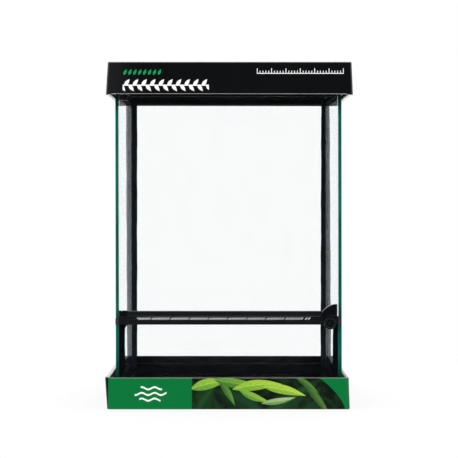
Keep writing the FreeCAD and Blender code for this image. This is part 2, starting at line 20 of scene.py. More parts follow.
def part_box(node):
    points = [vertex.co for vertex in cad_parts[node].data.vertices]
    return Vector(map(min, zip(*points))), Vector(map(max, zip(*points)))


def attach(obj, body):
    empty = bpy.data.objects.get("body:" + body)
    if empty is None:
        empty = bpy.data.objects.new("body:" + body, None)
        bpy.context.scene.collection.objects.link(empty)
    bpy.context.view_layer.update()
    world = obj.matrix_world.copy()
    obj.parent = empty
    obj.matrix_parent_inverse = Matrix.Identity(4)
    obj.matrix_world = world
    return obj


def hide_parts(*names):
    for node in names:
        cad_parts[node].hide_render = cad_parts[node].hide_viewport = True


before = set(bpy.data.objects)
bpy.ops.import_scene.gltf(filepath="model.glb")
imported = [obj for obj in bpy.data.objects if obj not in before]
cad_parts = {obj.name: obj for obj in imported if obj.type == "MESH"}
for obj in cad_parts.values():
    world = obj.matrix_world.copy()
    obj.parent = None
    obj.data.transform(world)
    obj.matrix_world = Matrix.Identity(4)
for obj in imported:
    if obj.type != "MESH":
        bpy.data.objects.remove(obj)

LOG = logging.getLogger("terrarium")
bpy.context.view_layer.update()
MM = 0.001

Colour = tuple[float, float, float]
Point = tuple[float, float, float]
Ring = list[Point]
Face = tuple[int, ...]
Socket = bpy.types.NodeSocket
Feed = Socket | float | tuple[float, ...]

ORIGIN: Point = (0.0, 0.0, 0.0)
WHITE: Colour = (1.0, 1.0, 1.0)


# ---- Small tools ----------------------------------------------------------------------
def rgba(colour: Colour) -> tuple[float, float, float, float]:
    """Returns a colour with full alpha."""
    return (*colour, 1.0)


def scaled(colour: Colour, share: float) -> Colour:
    """Returns a colour made darker or brighter by a share."""
    return tuple(part * share for part in colour)


def ramp(value: float) -> float:
    """Returns a value held between 0 and 1."""
    return min(1.0, max(0.0, value))


@dataclass(frozen=True)
class Span:
    """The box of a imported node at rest, in millimetres."""

    low: Vector
    high: Vector

    @classmethod
    def of(cls, node: str) -> "Span":
        """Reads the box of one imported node.

        Args:
            node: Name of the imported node.

        Returns:
            Its box in millimetres.
        """
        low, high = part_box(node)
        return cls(low / MM, high / MM)


class Side(Enum):
    """The two sides of the tank."""

    LEFT = -1
    RIGHT = 1


# ---- Shader graphs --------------------------------------------------------------------
class Graph:
    """Lays nodes into a shader tree and wires them up."""

    def __init__(self, tree: bpy.types.NodeTree) -> None:
        """Starts on a tree.

        Args:
            tree: Node tree of a material, a world or a group.
        """
        self.tree = tree

    def add(self, kind: str, **settings: object) -> bpy.types.Node:
        """Adds a node.

        Args:
            kind: Node type without its "ShaderNode" prefix.
            **settings: Properties of the node.

        Returns:
            The new node.
        """
        node = self.tree.nodes.new(f"ShaderNode{kind}")
        for key, value in settings.items():
            setattr(node, key, value)
        step = len(self.tree.nodes)
        node.location = (180 * (step % 9), -220 * (step // 9))
        return node

    def feed(self, socket: Socket, value: Feed) -> None:
        """Links a socket to another one, or sets its value.

        Args:
            socket: Input socket to fill.
            value: Another node's output, a number, a vector or a colour.
        """
        if isinstance(value, Socket):
            self.tree.links.new(value, socket)
        elif isinstance(value, tuple) and socket.type == "RGBA" and len(value) == 3:
            socket.default_value = rgba(value)
        else:
            socket.default_value = value

    def fill(self, node: bpy.types.Node, **values: Feed) -> None:
        """Feeds a node's inputs by name.

        Args:
            node: The node.
            **values: What goes into its inputs, by name, with _ for a space.
        """
        for key, value in values.items():
            self.feed(node.inputs[key.replace("_", " ")], value)

    def _row(self, node: bpy.types.Node, values: Iterable[Feed]) -> Socket:
        """Feeds a node's inputs in their order.

        Args:
            node: The node.
            values: What goes into its first inputs.

        Returns:
            The node's first output.
        """
        for socket, value in zip(node.inputs, values):
            self.feed(socket, value)
        return node.outputs[0]

    def math(self, operation: str, *values: Feed, clamp: bool = False) -> Socket:
        """Adds a Math node.

        Args:
            operation: Name of the operation.
            *values: What goes into its inputs.
            clamp: Whether the result stays within 0 and 1.

        Returns:
            Its result.
        """
        return self._row(self.add("Math", operation=operation, use_clamp=clamp), values)

    def vector(self, operation: str, *values: Feed) -> Socket:
        """Adds a Vector Math node and returns its vector."""
        return self._row(self.add("VectorMath", operation=operation), values)

    def split(self, vector: Feed) -> tuple[Socket, ...]:
        """Takes a vector apart.

        Args:
            vector: The vector.

        Returns:
            Its three parts.
        """
        node = self.add("SeparateXYZ")
        self.feed(node.inputs[0], vector)
        return tuple(node.outputs)

    def page(self, x: Feed, y: Feed) -> Socket:
        """Returns a flat vector made of two numbers."""
        return self._row(self.add("CombineXYZ"), (x, y))

    def blend(self, factor: Feed, under: Feed, over: Feed) -> Socket:
        """Lays one colour over another.

        Args:
            factor: How much of the upper colour shows.
            under: Lower colour.
            over: Upper colour.

        Returns:
            The mixed colour.
        """
        node = self.add("Mix", data_type="RGBA")
        for index, value in ((0, factor), (6, under), (7, over)):
            self.feed(node.inputs[index], value)
        return node.outputs[2]

    def level(self, factor: Feed, first: Feed, second: Feed) -> Socket:
        """Goes from one number to another.

        Args:
            factor: How far it goes.
            first: Number at 0.
            second: Number at 1.

        Returns:
            The mixed number.
        """
        node = self.add("Mix")
        for index, value in ((0, factor), (2, first), (3, second)):
            self.feed(node.inputs[index], value)
        return node.outputs[0]

    def span(
        self, value: Feed, low: Feed, high: Feed, to_low: float = 0.0, to_high: float = 1.0,
    ) -> Socket:
        """Maps a range of values smoothly onto another.

        Args:
            value: What is mapped.
            low: Value that gives to_low.
            high: Value that gives to_high.
            to_low: Lowest result.
            to_high: Highest result.

        Returns:
            The mapped value.
        """
        node = self.add("MapRange", interpolation_type="SMOOTHSTEP")
        return self._row(node, (value, low, high, to_low, to_high))

    def between(self, value: Feed, low: float, high: float, soft: float) -> Socket:
        """Masks what lies between two values.

        Args:
            value: What is looked at.
            low: Lower bound.
            high: Upper bound.
            soft: Half the width of the change at each bound.

        Returns:
            The mask.
        """
        over = self.span(value, low - soft, low + soft)
        return self.math("MULTIPLY", over, self.span(value, high - soft, high + soft, 1.0, 0.0))

    def close(self, value: Feed, near: float, far: float) -> Socket:
        """Masks what lies near zero: all of it up to near, and nothing from far on."""
        return self.span(self.math("ABSOLUTE", value), near, far, 1.0, 0.0)

    def noise(self, vector: Feed, scale: Feed, detail: float = 2.0, distortion: float = 0.0) -> Socket:
        """Adds a noise texture.

        Args:
            vector: Where it is looked up.
            scale: Its scale.
            detail: Number of octaves.
            distortion: How much it is warped.

        Returns:
            Its value.
        """
        node = self.add("TexNoise")
        self.fill(node, Vector=vector, Scale=scale, Detail=detail, Distortion=distortion)
        return node.outputs[0]

    def streaks(self, place: Feed, scales: Point, detail: float, distortion: float = 0.0) -> Socket:
        """Adds a noise texture that has its own scale along each axis."""
        return self.noise(self.vector("MULTIPLY", place, scales), 1.0, detail, distortion)

    def mark(self, name: str) -> Socket:
        """Reads a mask that the mesh carries."""
        return self.add("Attribute", attribute_name=name).outputs["Fac"]

    def place(self) -> Socket:
        """Finds the point on the piece.

        Returns:
            The point, in millimetres.
        """
        node = self.add("VectorMath", operation="SCALE")
        self.feed(node.inputs[0], self.add("TexCoord").outputs["Object"])
        node.inputs["Scale"].default_value = 1 / MM
        return node.outputs[0]

    def group(self, tree: bpy.types.NodeTree, **values: Feed) -> bpy.types.Node:
        """Places a node group.

        Args:
            tree: The group.
            **values: What goes into its inputs, by name, with _ for a space.

        Returns:
            The group's node.
        """
        node = self.add("Group", node_tree=tree)
        self.fill(node, **values)
        return node

    def bump(self, height: Feed, depth: float, normal: Socket | None = None) -> Socket:
        """Turns a height from 0 to 1 into a normal.

        Args:
            height: The height.
            depth: Its full height in millimetres.
            normal: Normal of a coarser relief under it.

        Returns:
            The normal.
        """
        node = self.add("Bump")
        self.fill(node, Distance=depth * MM, Height=height)
        if normal is not None:
            self.feed(node.inputs["Normal"], normal)
        return node.outputs[0]


def start_group(
    name: str, inputs: dict[str, Feed], outputs: Sequence[str],
) -> tuple[Graph, dict[str, Socket], bpy.types.Node]:
    """Opens a new node group with named sockets.

    Args:
        name: Name of the group.
        inputs: Default value of each input, by name.
        outputs: Names of its outputs.

    Returns:
        Its graph, its inputs by name and its output node.
    """
    tree = bpy.data.node_groups.new(name, "ShaderNodeTree")
    for key, value in inputs.items():
        kind = "NodeSocketVector" if isinstance(value, tuple) else "NodeSocketFloat"
        tree.interface.new_socket(key, in_out="INPUT", socket_type=kind).default_value = value
    for key in outputs:
        tree.interface.new_socket(key, in_out="OUTPUT", socket_type="NodeSocketFloat")
    given = tree.nodes.new("NodeGroupInput").outputs
    return Graph(tree), {s.name: s for s in given if s.name}, tree.nodes.new("NodeGroupOutput")


class Effects:
    """Node groups that several finishes share, each made once."""

    @staticmethod
    @cache
    def grain() -> bpy.types.NodeTree:
        """Makes the fine relief of a moulded or pressed face, with a slow change of tone.

        Returns:
            A group with Height, Tone and Gloss.
        """
        graph, given, out = start_group(
            "FineGrain", {"Vector": ORIGIN, "Size": 0.4, "Tone Size": 40.0}, ("Height", "Tone", "Gloss"),
        )
        place = given["Vector"]
        fine = graph.noise(place, graph.math("DIVIDE", 1.0, given["Size"]), 3.0)
        slow = graph.noise(place, graph.math("DIVIDE", 1.0, given["Tone Size"]), 4.0, 0.6)
        middle = graph.noise(place, graph.math("DIVIDE", 6.0, given["Tone Size"]), 3.0)
        graph.fill(
            out, Height=graph.span(fine, 0.3, 0.7), Tone=graph.span(slow, 0.25, 0.75),
            Gloss=graph.span(graph.math("ADD", slow, middle), 0.7, 1.3),
        )
        return graph.tree

    @staticmethod
    @cache
    def wear() -> bpy.types.NodeTree:
        """Makes rubbed places along an edge or a fold; on the card's folds the same mask also lays a painted
        highlight.

        Returns:
            A group with a Mask.
        """
        graph, given, out = start_group(
            "EdgeWearAndFoldHighlight", {"Vector": ORIGIN, "Edge": 0.0, "Amount": 0.5, "Size": 6.0}, ("Mask",),
        )
        place = given["Vector"]
        patch = graph.noise(place, graph.math("DIVIDE", 1.0, given["Size"]), 4.0, 0.4)
        fleck = graph.noise(place, graph.math("DIVIDE", 7.0, given["Size"]), 2.0)
        rough = graph.math("ADD", graph.math("MULTIPLY", patch, 0.65), graph.math("MULTIPLY", fleck, 0.35))
        level = graph.math("SUBTRACT", 1.0, given["Amount"])
        lifted = graph.math("SUBTRACT", rough, graph.math("MULTIPLY", level, 0.5))
        rubbed = graph.span(lifted, 0.05, 0.3)
        graph.fill(out, Mask=graph.math("MULTIPLY", rubbed, given["Edge"], clamp=True))
        return graph.tree

    @staticmethod
    @cache
    def dust() -> bpy.types.NodeTree:
        """Makes the fine dust that settles on faces that look up.

        Returns:
            A group with a Mask.
        """
        graph, given, out = start_group("SettledDust", {"Vector": ORIGIN, "Amount": 0.3}, ("Mask",))
        place = given["Vector"]
        up = graph.split(graph.add("NewGeometry").outputs["Normal"])[2]
        specks = graph.span(graph.noise(place, 1.4, 2.0), 0.5, 0.75)
        drift = graph.span(graph.noise(place, 0.03, 3.0), 0.3, 0.8)
        lying = graph.math("MULTIPLY", graph.span(up, 0.4, 1.0), given["Amount"])
        grains = graph.math("ADD", specks, drift)
        graph.fill(out, Mask=graph.math("MULTIPLY", lying, grains, clamp=True))
        return graph.tree

    @staticmethod
    @cache
    def flutes() -> bpy.types.NodeTree:
        """Makes the corrugated sheet inside the card: ripples on a face and waves on a cut edge.

        Returns:
            A group with Ripple, Core and Fibre.
        """
        graph, given, out = start_group(
            "CardFlutes", {"Vector": ORIGIN, "Across": 0.0, "Pitch": 3.2}, ("Ripple", "Core", "Fibre"),
        )
        x, y, _ = graph.split(given["Vector"])
        run = graph.math("MULTIPLY", graph.math("ADD", x, y), math.tau)
        turn = graph.math("DIVIDE", run, given["Pitch"])
        wave = graph.math("MULTIPLY_ADD", graph.math("SINE", turn), 0.5, 0.5)
        centre = graph.math("MULTIPLY_ADD", wave, 0.56, 0.22)
        sheet = graph.close(graph.math("SUBTRACT", given["Across"], centre), 0.1, 0.2)
        off_middle = graph.math("ABSOLUTE", graph.math("SUBTRACT", given["Across"], 0.5))
        graph.fill(
            out, Ripple=wave, Core=graph.math("MAXIMUM", sheet, graph.span(off_middle, 0.3, 0.4)),
            Fibre=graph.noise(given["Vector"], 3.0, 4.0, 1.0),
        )
        return graph.tree

    @staticmethod
    @cache
    def leaf() -> bpy.types.NodeTree:
        """Makes one printed leaf blade with its ribs.

        Returns:
            A group with Mask, Ribs and Shade.
        """
        graph, given, out = start_group(
            "PrintedLeaf",
            {
                "Vector": ORIGIN, "Centre": ORIGIN, "Turn": 0.0, "Length": 30.0, "Width": 8.0,
                "Bend": 0.0, "Softness": 0.05,
            },
            ("Mask", "Ribs", "Shade"),
        )
        turned = graph.add("VectorRotate", rotation_type="Z_AXIS", invert=True)
        moved = graph.vector("SUBTRACT", given["Vector"], given["Centre"])
        graph.fill(turned, Vector=moved, Angle=given["Turn"])
        along, across, _ = graph.split(turned.outputs[0])
        u = graph.math("DIVIDE", graph.math("MULTIPLY", along, 2.0), given["Length"])
        u = graph.math("MINIMUM", graph.math("MAXIMUM", u, -1.8), 1.8)
        fall = graph.math("SUBTRACT", 1.0, graph.math("MULTIPLY", u, u))
        bowed = graph.math("SUBTRACT", across, graph.math("MULTIPLY", fall, given["Bend"]))
        v = graph.math("DIVIDE", graph.math("MULTIPLY", bowed, 2.0), given["Width"])
        aside = graph.math("ABSOLUTE", v)
        outline = graph.math("MULTIPLY", fall, graph.math("MULTIPLY_ADD", u, -0.3, 1.0))
        depth = graph.math("SUBTRACT", outline, aside)
        soft = given["Softness"]
        midrib = graph.span(aside, 0.03, 0.09, 1.0, 0.0)
        swept = graph.math("SUBTRACT", u, graph.math("MULTIPLY", aside, 0.35))
        slant = graph.math("SINE", graph.math("MULTIPLY", swept, 24.0))
        side_ribs = graph.math("MULTIPLY", graph.span(slant, 0.82, 1.0), graph.span(depth, 0.02, 0.25))
        lit = graph.math("ADD", graph.span(v, -0.25, 0.25, 0.0, 0.55), graph.span(u, -1.0, 1.0, 0.0, 0.45))
        graph.fill(
            out, Mask=graph.span(depth, graph.math("MULTIPLY", soft, -1.0), soft),
            Ribs=graph.math("MAXIMUM", midrib, graph.math("MULTIPLY", side_ribs, 0.45)), Shade=lit,
        )
        return graph.tree


def new_material(name: str) -> tuple[bpy.types.Material, Graph, bpy.types.Node]:
    """Starts a material with one Principled shader.

    Args:
        name: Name of the material.

    Returns:
        The material, its graph and its shader.
    """
    material = bpy.data.materials.new(name)
    material.use_nodes = True
    graph = Graph(material.node_tree)
    material.node_tree.nodes.clear()
    shader = graph.add("BsdfPrincipled")
    output = graph.add("OutputMaterial")
    graph.feed(output.inputs["Surface"], shader.outputs[0])
    return material, graph, shader


# ---- Finishes -------------------------------------------------------------------------
Artwork = Callable[[Graph, Socket], Socket]


@dataclass(frozen=True)
class MouldedPlastic:
    """Satin plastic with a fine grain, a slow change of tone and rubbed edges."""

    name: str
    colour: Colour = (0.0045, 0.0045, 0.0048)
    rubbed: Colour = (0.035, 0.035, 0.037)
    roughness: float = 0.42
    specular: float = 0.15
    grain: float = 0.45
    depth: float = 0.02
    wear: float = 0.45
    dust: float = 0.05
    pale_ends: float = 0.0
    pale_fade: float = 0.6
    darkest: float = 0.72
    tone_size: float = 55.0
    wear_size: float = 9.0
    uneven_gloss: tuple[float, float] = (-0.06, 0.08)
    settled: Colour = (0.32, 0.31, 0.29)
    dusty: float = 0.3

    def material(self) -> bpy.types.Material:
        """Makes the finish.

        Returns:
            The material.
        """
        material, graph, shader = new_material(self.name)
        place = graph.place()
        grain = graph.group(Effects.grain(), Vector=place, Size=self.grain, Tone_Size=self.tone_size)
        wear = graph.group(
            Effects.wear(), Vector=place, Edge=graph.mark("edge"), Amount=self.wear, Size=self.wear_size,
        )
        dust = graph.group(Effects.dust(), Vector=place, Amount=self.dust)
        colour = graph.blend(grain.outputs["Tone"], scaled(self.colour, self.darkest), self.colour)
        colour = graph.blend(wear.outputs["Mask"], colour, self.rubbed)
        if self.pale_ends:
            away = graph.math("ABSOLUTE", graph.split(place)[0])
            ends = graph.span(away, self.pale_ends - self.pale_fade, self.pale_ends + self.pale_fade)
            colour = graph.blend(ends, colour, self.rubbed)
        colour = graph.blend(dust.outputs["Mask"], colour, self.settled)
        gloss = (self.roughness + uneven for uneven in self.uneven_gloss)
        satin = graph.span(grain.outputs["Gloss"], 0.0, 1.0, *gloss)
        dusty = graph.math("MULTIPLY", dust.outputs["Mask"], self.dusty)
        graph.fill(
            shader, Base_Color=colour, Roughness=graph.math("ADD", satin, dusty),
            Normal=graph.bump(grain.outputs["Height"], self.depth), Specular_IOR_Level=self.specular,
        )
        return material


@dataclass(frozen=True)
class ClearGlass:
    """Float glass: clear faces with faint wiping marks."""

    name: str = "clear_glass"
    colour: Colour = (0.985, 0.995, 0.995)
    grazing: Colour = (0.985, 0.995, 0.995)
    sheen: float = 0.0
    shadow: Colour = (0.93, 0.95, 0.94)
    ior: float = 1.5
    grazing_span: tuple[float, float] = (0.86, 0.92)
    haze: float = 0.985
    wiping: Point = (0.01, 0.01, 0.004)
    waves: Point = (0.006, 0.006, 0.002)
    wave_depth: float = 0.02

    def material(self) -> bpy.types.Material:
        """Makes the finish. Its shadow is that of a thin clear sheet.

        Returns:
            The material.
        """
        material, graph, shader = new_material(self.name)
        place = graph.place()
        smear = graph.noise(graph.vector("MULTIPLY", place, self.wiping), 4.0, 5.0, 1.2)
        colour = graph.blend(graph.span(smear, 0.45, 0.8), self.colour, scaled(self.colour, self.haze))
        # grazing tints the pane where it is seen edge-on; where it is darker than colour it is painted shade.
        along = graph.span(graph.add("LayerWeight").outputs["Facing"], *self.grazing_span)
        graph.fill(
            shader, Base_Color=graph.blend(along, colour, self.grazing), Roughness=0.0, IOR=self.ior,
            Transmission_Weight=1.0, Coat_Weight=self.sheen, Coat_Roughness=0.0,
            Normal=graph.bump(graph.streaks(place, self.waves, 1.0), self.wave_depth),
        )
        open_to_lamps = graph.add("BsdfTransparent")
        open_to_lamps.inputs[0].default_value = rgba(self.shadow)
        mix = graph.add("MixShader")
        shaded = graph.add("LightPath").outputs["Is Shadow Ray"]
        for socket, value in zip(mix.inputs, (shaded, shader.outputs[0], open_to_lamps.outputs[0])):
            graph.feed(socket, value)
        output = next(n for n in graph.tree.nodes if n.bl_idname == "ShaderNodeOutputMaterial")
        graph.feed(output.inputs["Surface"], mix.outputs[0])
        return material


@dataclass(frozen=True)
class GroundEdge:
    """The ground edge of a pane, where the glass shows its own green.

    It is painted darker under the cap, over the height fade below top, and over foot_fade above the
    foot, and painted black where it stands sunk in the frame: painted shade, where the cap and the frame keep
    the light off the edge.
    """

    name: str = "ground_glass_edge"
    deep: Colour = (0.001, 0.072, 0.056)
    bright: Colour = (0.002, 0.13, 0.094)
    arris: Colour = (0.006, 0.14, 0.11)
    # Painted shade colours: dark under the cap and above the foot, black where the edge is sunk in the frame.
    dark: Colour = (0.0005, 0.012, 0.009)
    black: Colour = (0.0004, 0.002, 0.0016)
    fade: float = 34.0
    top: float = 413.0
    top_shade: float = 0.95
    foot: float = 42.0
    foot_fade: float = 36.0
    foot_shade: float = 0.6
    sunk: tuple[float, float] = (14.0, 6.0)
    clouds: Point = (0.05, 0.05, 0.016)
    grinding: Point = (4.0, 4.0, 0.6)
    gloss: tuple[float, float] = (0.16, 0.34)
    depth: float = 0.01
    specular: float = 0.06

    def material(self) -> bpy.types.Material:
        """Makes the finish.

        Returns:
            The material.
        """
        material, graph, shader = new_material(self.name)
        place = graph.place()
        slow = graph.span(graph.streaks(place, self.clouds, 3.0), 0.3, 0.7)
        colour = graph.blend(slow, self.deep, self.bright)
        colour = graph.blend(graph.mark("edge"), colour, self.arris)
        z = graph.split(place)[2]
        # Painted shade: the edge is darkened under the cap and above the foot, and blackened where it is sunk
        # in the frame.
        under = graph.span(z, self.top - self.fade, self.top, 0.0, self.top_shade)
        over = graph.span(z, self.foot, self.foot + self.foot_fade, self.foot_shade, 0.0)
        colour = graph.blend(graph.math("MAXIMUM", under, over), colour, self.dark)
        sunk = graph.span(z, *(self.foot - depth for depth in self.sunk), 1.0, 0.0)
        scratches = graph.streaks(place, self.grinding, 4.0)
        graph.fill(
            shader, Base_Color=graph.blend(sunk, colour, self.black),
            Roughness=graph.span(scratches, 0.3, 0.7, *self.gloss),
            Normal=graph.bump(scratches, self.depth), Specular_IOR_Level=self.specular,
        )
        return material


@dataclass(frozen=True)
class Silicone:
    """Black sealant, pulled smooth with a finger."""

    name: str
    colour: Colour
    specular: float = 0.06
    palest: float = 1.6
    gloss: tuple[float, float] = (0.34, 0.5)
    pulling: Point = (0.25, 0.25, 0.06)
    pull_depth: float = 0.08
    grain_depth: float = 0.02

    def material(self) -> bpy.types.Material:
        """Makes the finish.

        Returns:
            The material.
        """
        material, graph, shader = new_material(self.name)
        place = graph.place()
        grain = graph.group(Effects.grain(), Vector=place, Size=1.6, Tone_Size=30.0)
        pulled = graph.streaks(place, self.pulling, 3.0, 0.5)
        pale = scaled(self.colour, self.palest)
        graph.fill(
            shader, Base_Color=graph.blend(grain.outputs["Tone"], self.colour, pale),
            Roughness=graph.span(grain.outputs["Gloss"], 0.0, 1.0, *self.gloss),
            Normal=graph.bump(pulled, self.pull_depth, graph.bump(grain.outputs["Height"], self.grain_depth)),
            Specular_IOR_Level=self.specular,
        )
        return material


@dataclass(frozen=True)
class RibbedRubber:
    """Matt black rubber cord."""

    name: str = "spline_rubber"
    colour: Colour = (0.011, 0.011, 0.0115)
    bloom: Colour = (0.02, 0.02, 0.02)
    gloss: tuple[float, float] = (0.55, 0.75)
    depth: float = 0.03
    specular: float = 0.3

    def material(self) -> bpy.types.Material:
        """Makes the finish.

        Returns:
            The material.
        """
        material, graph, shader = new_material(self.name)
        grain = graph.group(Effects.grain(), Vector=graph.place(), Size=0.7, Tone_Size=22.0)
        graph.fill(
            shader, Base_Color=graph.blend(grain.outputs["Tone"], self.colour, self.bloom),
            Roughness=graph.span(grain.outputs["Gloss"], 0.0, 1.0, *self.gloss),
            Normal=graph.bump(grain.outputs["Height"], self.depth), Specular_IOR_Level=self.specular,
        )
        return material


@dataclass(frozen=True)
class Steel:
    """Bare steel: turned pins and screws, or drawn wire."""

    name: str
    colour: Colour = (0.52, 0.51, 0.5)
    roughness: float = 0.3
    grooves: Point = (2.0, 2.0, 9.0)
    depth: float = 0.01
    dullest: float = 0.6
    uneven_gloss: tuple[float, float] = (-0.08, 0.12)

    def material(self) -> bpy.types.Material:
        """Makes the finish.

        Returns:
            The material.
        """
        material, graph, shader = new_material(self.name)
        place = graph.place()
        turning = graph.streaks(place, self.grooves, 4.0)
        stain = graph.span(graph.noise(place, 0.35, 3.0), 0.45, 0.75)
        gloss = (self.roughness + uneven for uneven in self.uneven_gloss)
        graph.fill(
            shader, Base_Color=graph.blend(stain, self.colour, scaled(self.colour, self.dullest)),
            Roughness=graph.span(turning, 0.3, 0.7, *gloss), Normal=graph.bump(turning, self.depth),
            Metallic=1.0,
        )
        return material


@dataclass(frozen=True)
class LeafBlade:
    """One printed leaf: its place and size in millimetres, its turn in degrees and its two greens."""

    x: float
    z: float
    turn: float
    length: float
    width: float
    dark: Colour
    light: Colour
    bend: float = 0.0
    soft: float = 0.04
    ribs: float = 0.5


@dataclass(frozen=True)
class LaminatedCard:
    """Printed and laminated card, with pale cut edges, and folds painted paler: partly worn, partly a painted
    highlight.
    """

    name: str
    colour: Colour = (0.0018, 0.0027, 0.0038)
    board: Colour = (0.98, 0.97, 0.95)
    # Colour of the crease mask: worn card, together with a painted highlight on the folds.
    worn_and_highlight: Colour = (0.75, 0.75, 0.75)
    inside: Colour = (0.0034, 0.0042, 0.0056)
    pulp: Colour = (0.9, 0.89, 0.87)
    fibre: Colour = (0.84, 0.82, 0.79)
    settled: Colour = (0.4, 0.39, 0.37)
    palest: float = 1.35
    roughness: float = 0.34
    uneven_gloss: tuple[float, float] = (-0.05, 0.07)
    bare_matt: float = 0.4
    specular: float = 0.08
    wear: float = 0.62
    dust: float = 0.02
    flute_pitch: float = 3.2
    ripple_depth: float = 0.03
    grain_depth: float = 0.012

    def material(self, artwork: Artwork) -> bpy.types.Material:
        """Makes the finish.

        Args:
            artwork: Adds the front's print to a graph, from a point on the piece, and
                returns its colour.

        Returns:
            The material.
        """
        material, graph, shader = new_material(self.name)
        place = graph.place()
        grain = graph.group(Effects.grain(), Vector=place, Size=0.9, Tone_Size=70.0)
        flutes = graph.group(
            Effects.flutes(), Vector=place, Across=graph.mark("across"), Pitch=self.flute_pitch,
        )
        # The crease mask lays a paler colour on the folds: real wear, and a painted highlight where the
        # rolled edges and corners would catch the light.
        fold = graph.group(
            Effects.wear(), Vector=place, Edge=graph.mark("crease_wear_and_highlight"), Amount=self.wear, Size=7.0,
        )
        dust = graph.group(Effects.dust(), Vector=place, Amount=self.dust)
        cut = graph.mark("cut")
        core = graph.blend(flutes.outputs["Core"], self.pulp, self.board)
        core = graph.blend(graph.math("MULTIPLY", flutes.outputs["Fibre"], 0.25), core, self.fibre)
        colour = graph.blend(grain.outputs["Tone"], self.colour, scaled(self.colour, self.palest))
        for mask, over in (
            (graph.mark("front"), artwork(graph, place)), (graph.mark("lining"), self.inside),
            (fold.outputs["Mask"], self.worn_and_highlight), (cut, core), (dust.outputs["Mask"], self.settled),
        ):
            colour = graph.blend(mask, colour, over)
        gloss = (self.roughness + uneven for uneven in self.uneven_gloss)
        laminate = graph.span(grain.outputs["Gloss"], 0.0, 1.0, *gloss)
        bare = graph.math("MAXIMUM", cut, fold.outputs["Mask"])
        ripple = graph.bump(flutes.outputs["Ripple"], self.ripple_depth)
        graph.fill(
            shader, Base_Color=colour, Roughness=graph.math("MULTIPLY_ADD", bare, self.bare_matt, laminate),
            Normal=graph.bump(grain.outputs["Height"], self.grain_depth, ripple),
            Specular_IOR_Level=self.specular,
        )
        return material


# ---- Meshes ---------------------------------------------------------------------------
def mesh_piece(name: str, points: Iterable[Point], faces: Iterable[Sequence[int]]) -> bpy.types.Object:
    """Makes a piece from points in millimetres.

    Args:
        name: Name of the piece.
        points: Its points.
        faces: The points of each face.

    Returns:
        The piece, smooth-shaded, at the origin.
    """
    mesh = bpy.data.meshes.new(name)
    mesh.from_pydata([tuple(c * MM for c in p) for p in points], [], [tuple(f) for f in faces])
    mesh.validate()
    return finish_piece(name, mesh)


def finish_piece(name: str, mesh: bpy.types.Mesh, smooth: bool = True) -> bpy.types.Object:
    """Links a finished mesh as a piece.

    Args:
        name: Name of the piece.
        mesh: Its mesh, in metres.
        smooth: Whether it gets smooth, face-weighted normals; flat glass keeps its own.

    Returns:
        The piece, at the origin.
    """
    piece = bpy.data.objects.new(name, mesh)
    bpy.context.scene.collection.objects.link(piece)
    if not smooth:
        mesh.shade_flat()
        return piece
    mesh.shade_smooth()
    mesh.set_sharp_from_angle(angle=math.radians(50))
    weighted = piece.modifiers.new("face_weights", "WEIGHTED_NORMAL")
    weighted.keep_sharp = True
    return piece


def bm_piece(name: str, work: bmesh.types.BMesh, smooth: bool = True) -> bpy.types.Object:
    """Turns a bmesh into a piece and frees it.

    Args:
        name: Name of the piece.
        work: Its closed mesh, in millimetres.
        smooth: Whether it gets smooth normals.

    Returns:
        The piece.
    """
    bmesh.ops.recalc_face_normals(work, faces=work.faces)
    work.transform(Matrix.Scale(MM, 4))
    mesh = bpy.data.meshes.new(name)
    work.to_mesh(mesh)
    work.free()
    return finish_piece(name, mesh, smooth)


def closed_piece(name: str, points: Iterable[Point], faces: Iterable[Sequence[int]]) -> bpy.types.Object:
    """Makes a piece of closed skins and turns their faces outwards.

    Args:
        name: Name of the piece.
        points: Its points, in millimetres.
        faces: The points of each face.

    Returns:
        The piece.
    """
    piece = mesh_piece(name, points, faces)
    work = bmesh.new()
    work.from_mesh(piece.data)
    bmesh.ops.recalc_face_normals(work, faces=work.faces)
    work.to_mesh(piece.data)
    work.free()
    return piece


def soften(work: bmesh.types.BMesh, radius: float, segments: int = 2, limit: float = 28.0) -> None:
    """Rounds every sharp edge and marks the rounding as edge.

    Args:
        work: Mesh in millimetres.
        radius: Width of the rounding.
        segments: Number of faces across it.
        limit: Edges that turn less than this, in degrees, stay.
    """
    mask = work.faces.layers.float.get("edge") or work.faces.layers.float.new("edge")
    sharp = [e for e in work.edges if e.calc_face_angle(0.0) > math.radians(limit)]
    made = bmesh.ops.bevel(
        work, geom=sharp, offset=radius, offset_type="OFFSET", segments=segments,
        profile=0.5, affect="EDGES", clamp_overlap=True,
    )
    for face in made["faces"]:
        face[mask] = 1.0


def moulded(name: str, node: str, radius: float, segments: int = 2) -> bpy.types.Object:
    """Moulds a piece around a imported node: the same form with rounded edges and fillets.

    Args:
        name: Name of the piece.
        node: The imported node.
        radius: Width of the rounding in millimetres.
        segments: Number of faces across it.

    Returns:
        The piece.
    """
    work = bmesh.new()
    work.from_mesh(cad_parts[node].data)
    for layer in list(work.loops.layers.uv):
        work.loops.layers.uv.remove(layer)
    work.transform(Matrix.Scale(1 / MM, 4))
    bmesh.ops.remove_doubles(work, verts=work.verts, dist=0.0005)
    bmesh.ops.dissolve_limit(work, angle_limit=math.radians(0.5), verts=work.verts, edges=work.edges)
    soften(work, radius, segments)
    return bm_piece(name, work)


def block(low: Sequence[float], high: Sequence[float]) -> bmesh.types.BMesh:
    """Makes a closed block between two corners.

    Args:
        low: Its lower corner, in millimetres.
        high: Its upper corner.

    Returns:
        The block.
    """
    work = bmesh.new()
    bmesh.ops.create_cube(work, size=1.0)
    for vert in work.verts:
        vert.co = Vector(tuple(a + (b - a) * (c + 0.5) for a, b, c in zip(low, high, vert.co)))
    return work


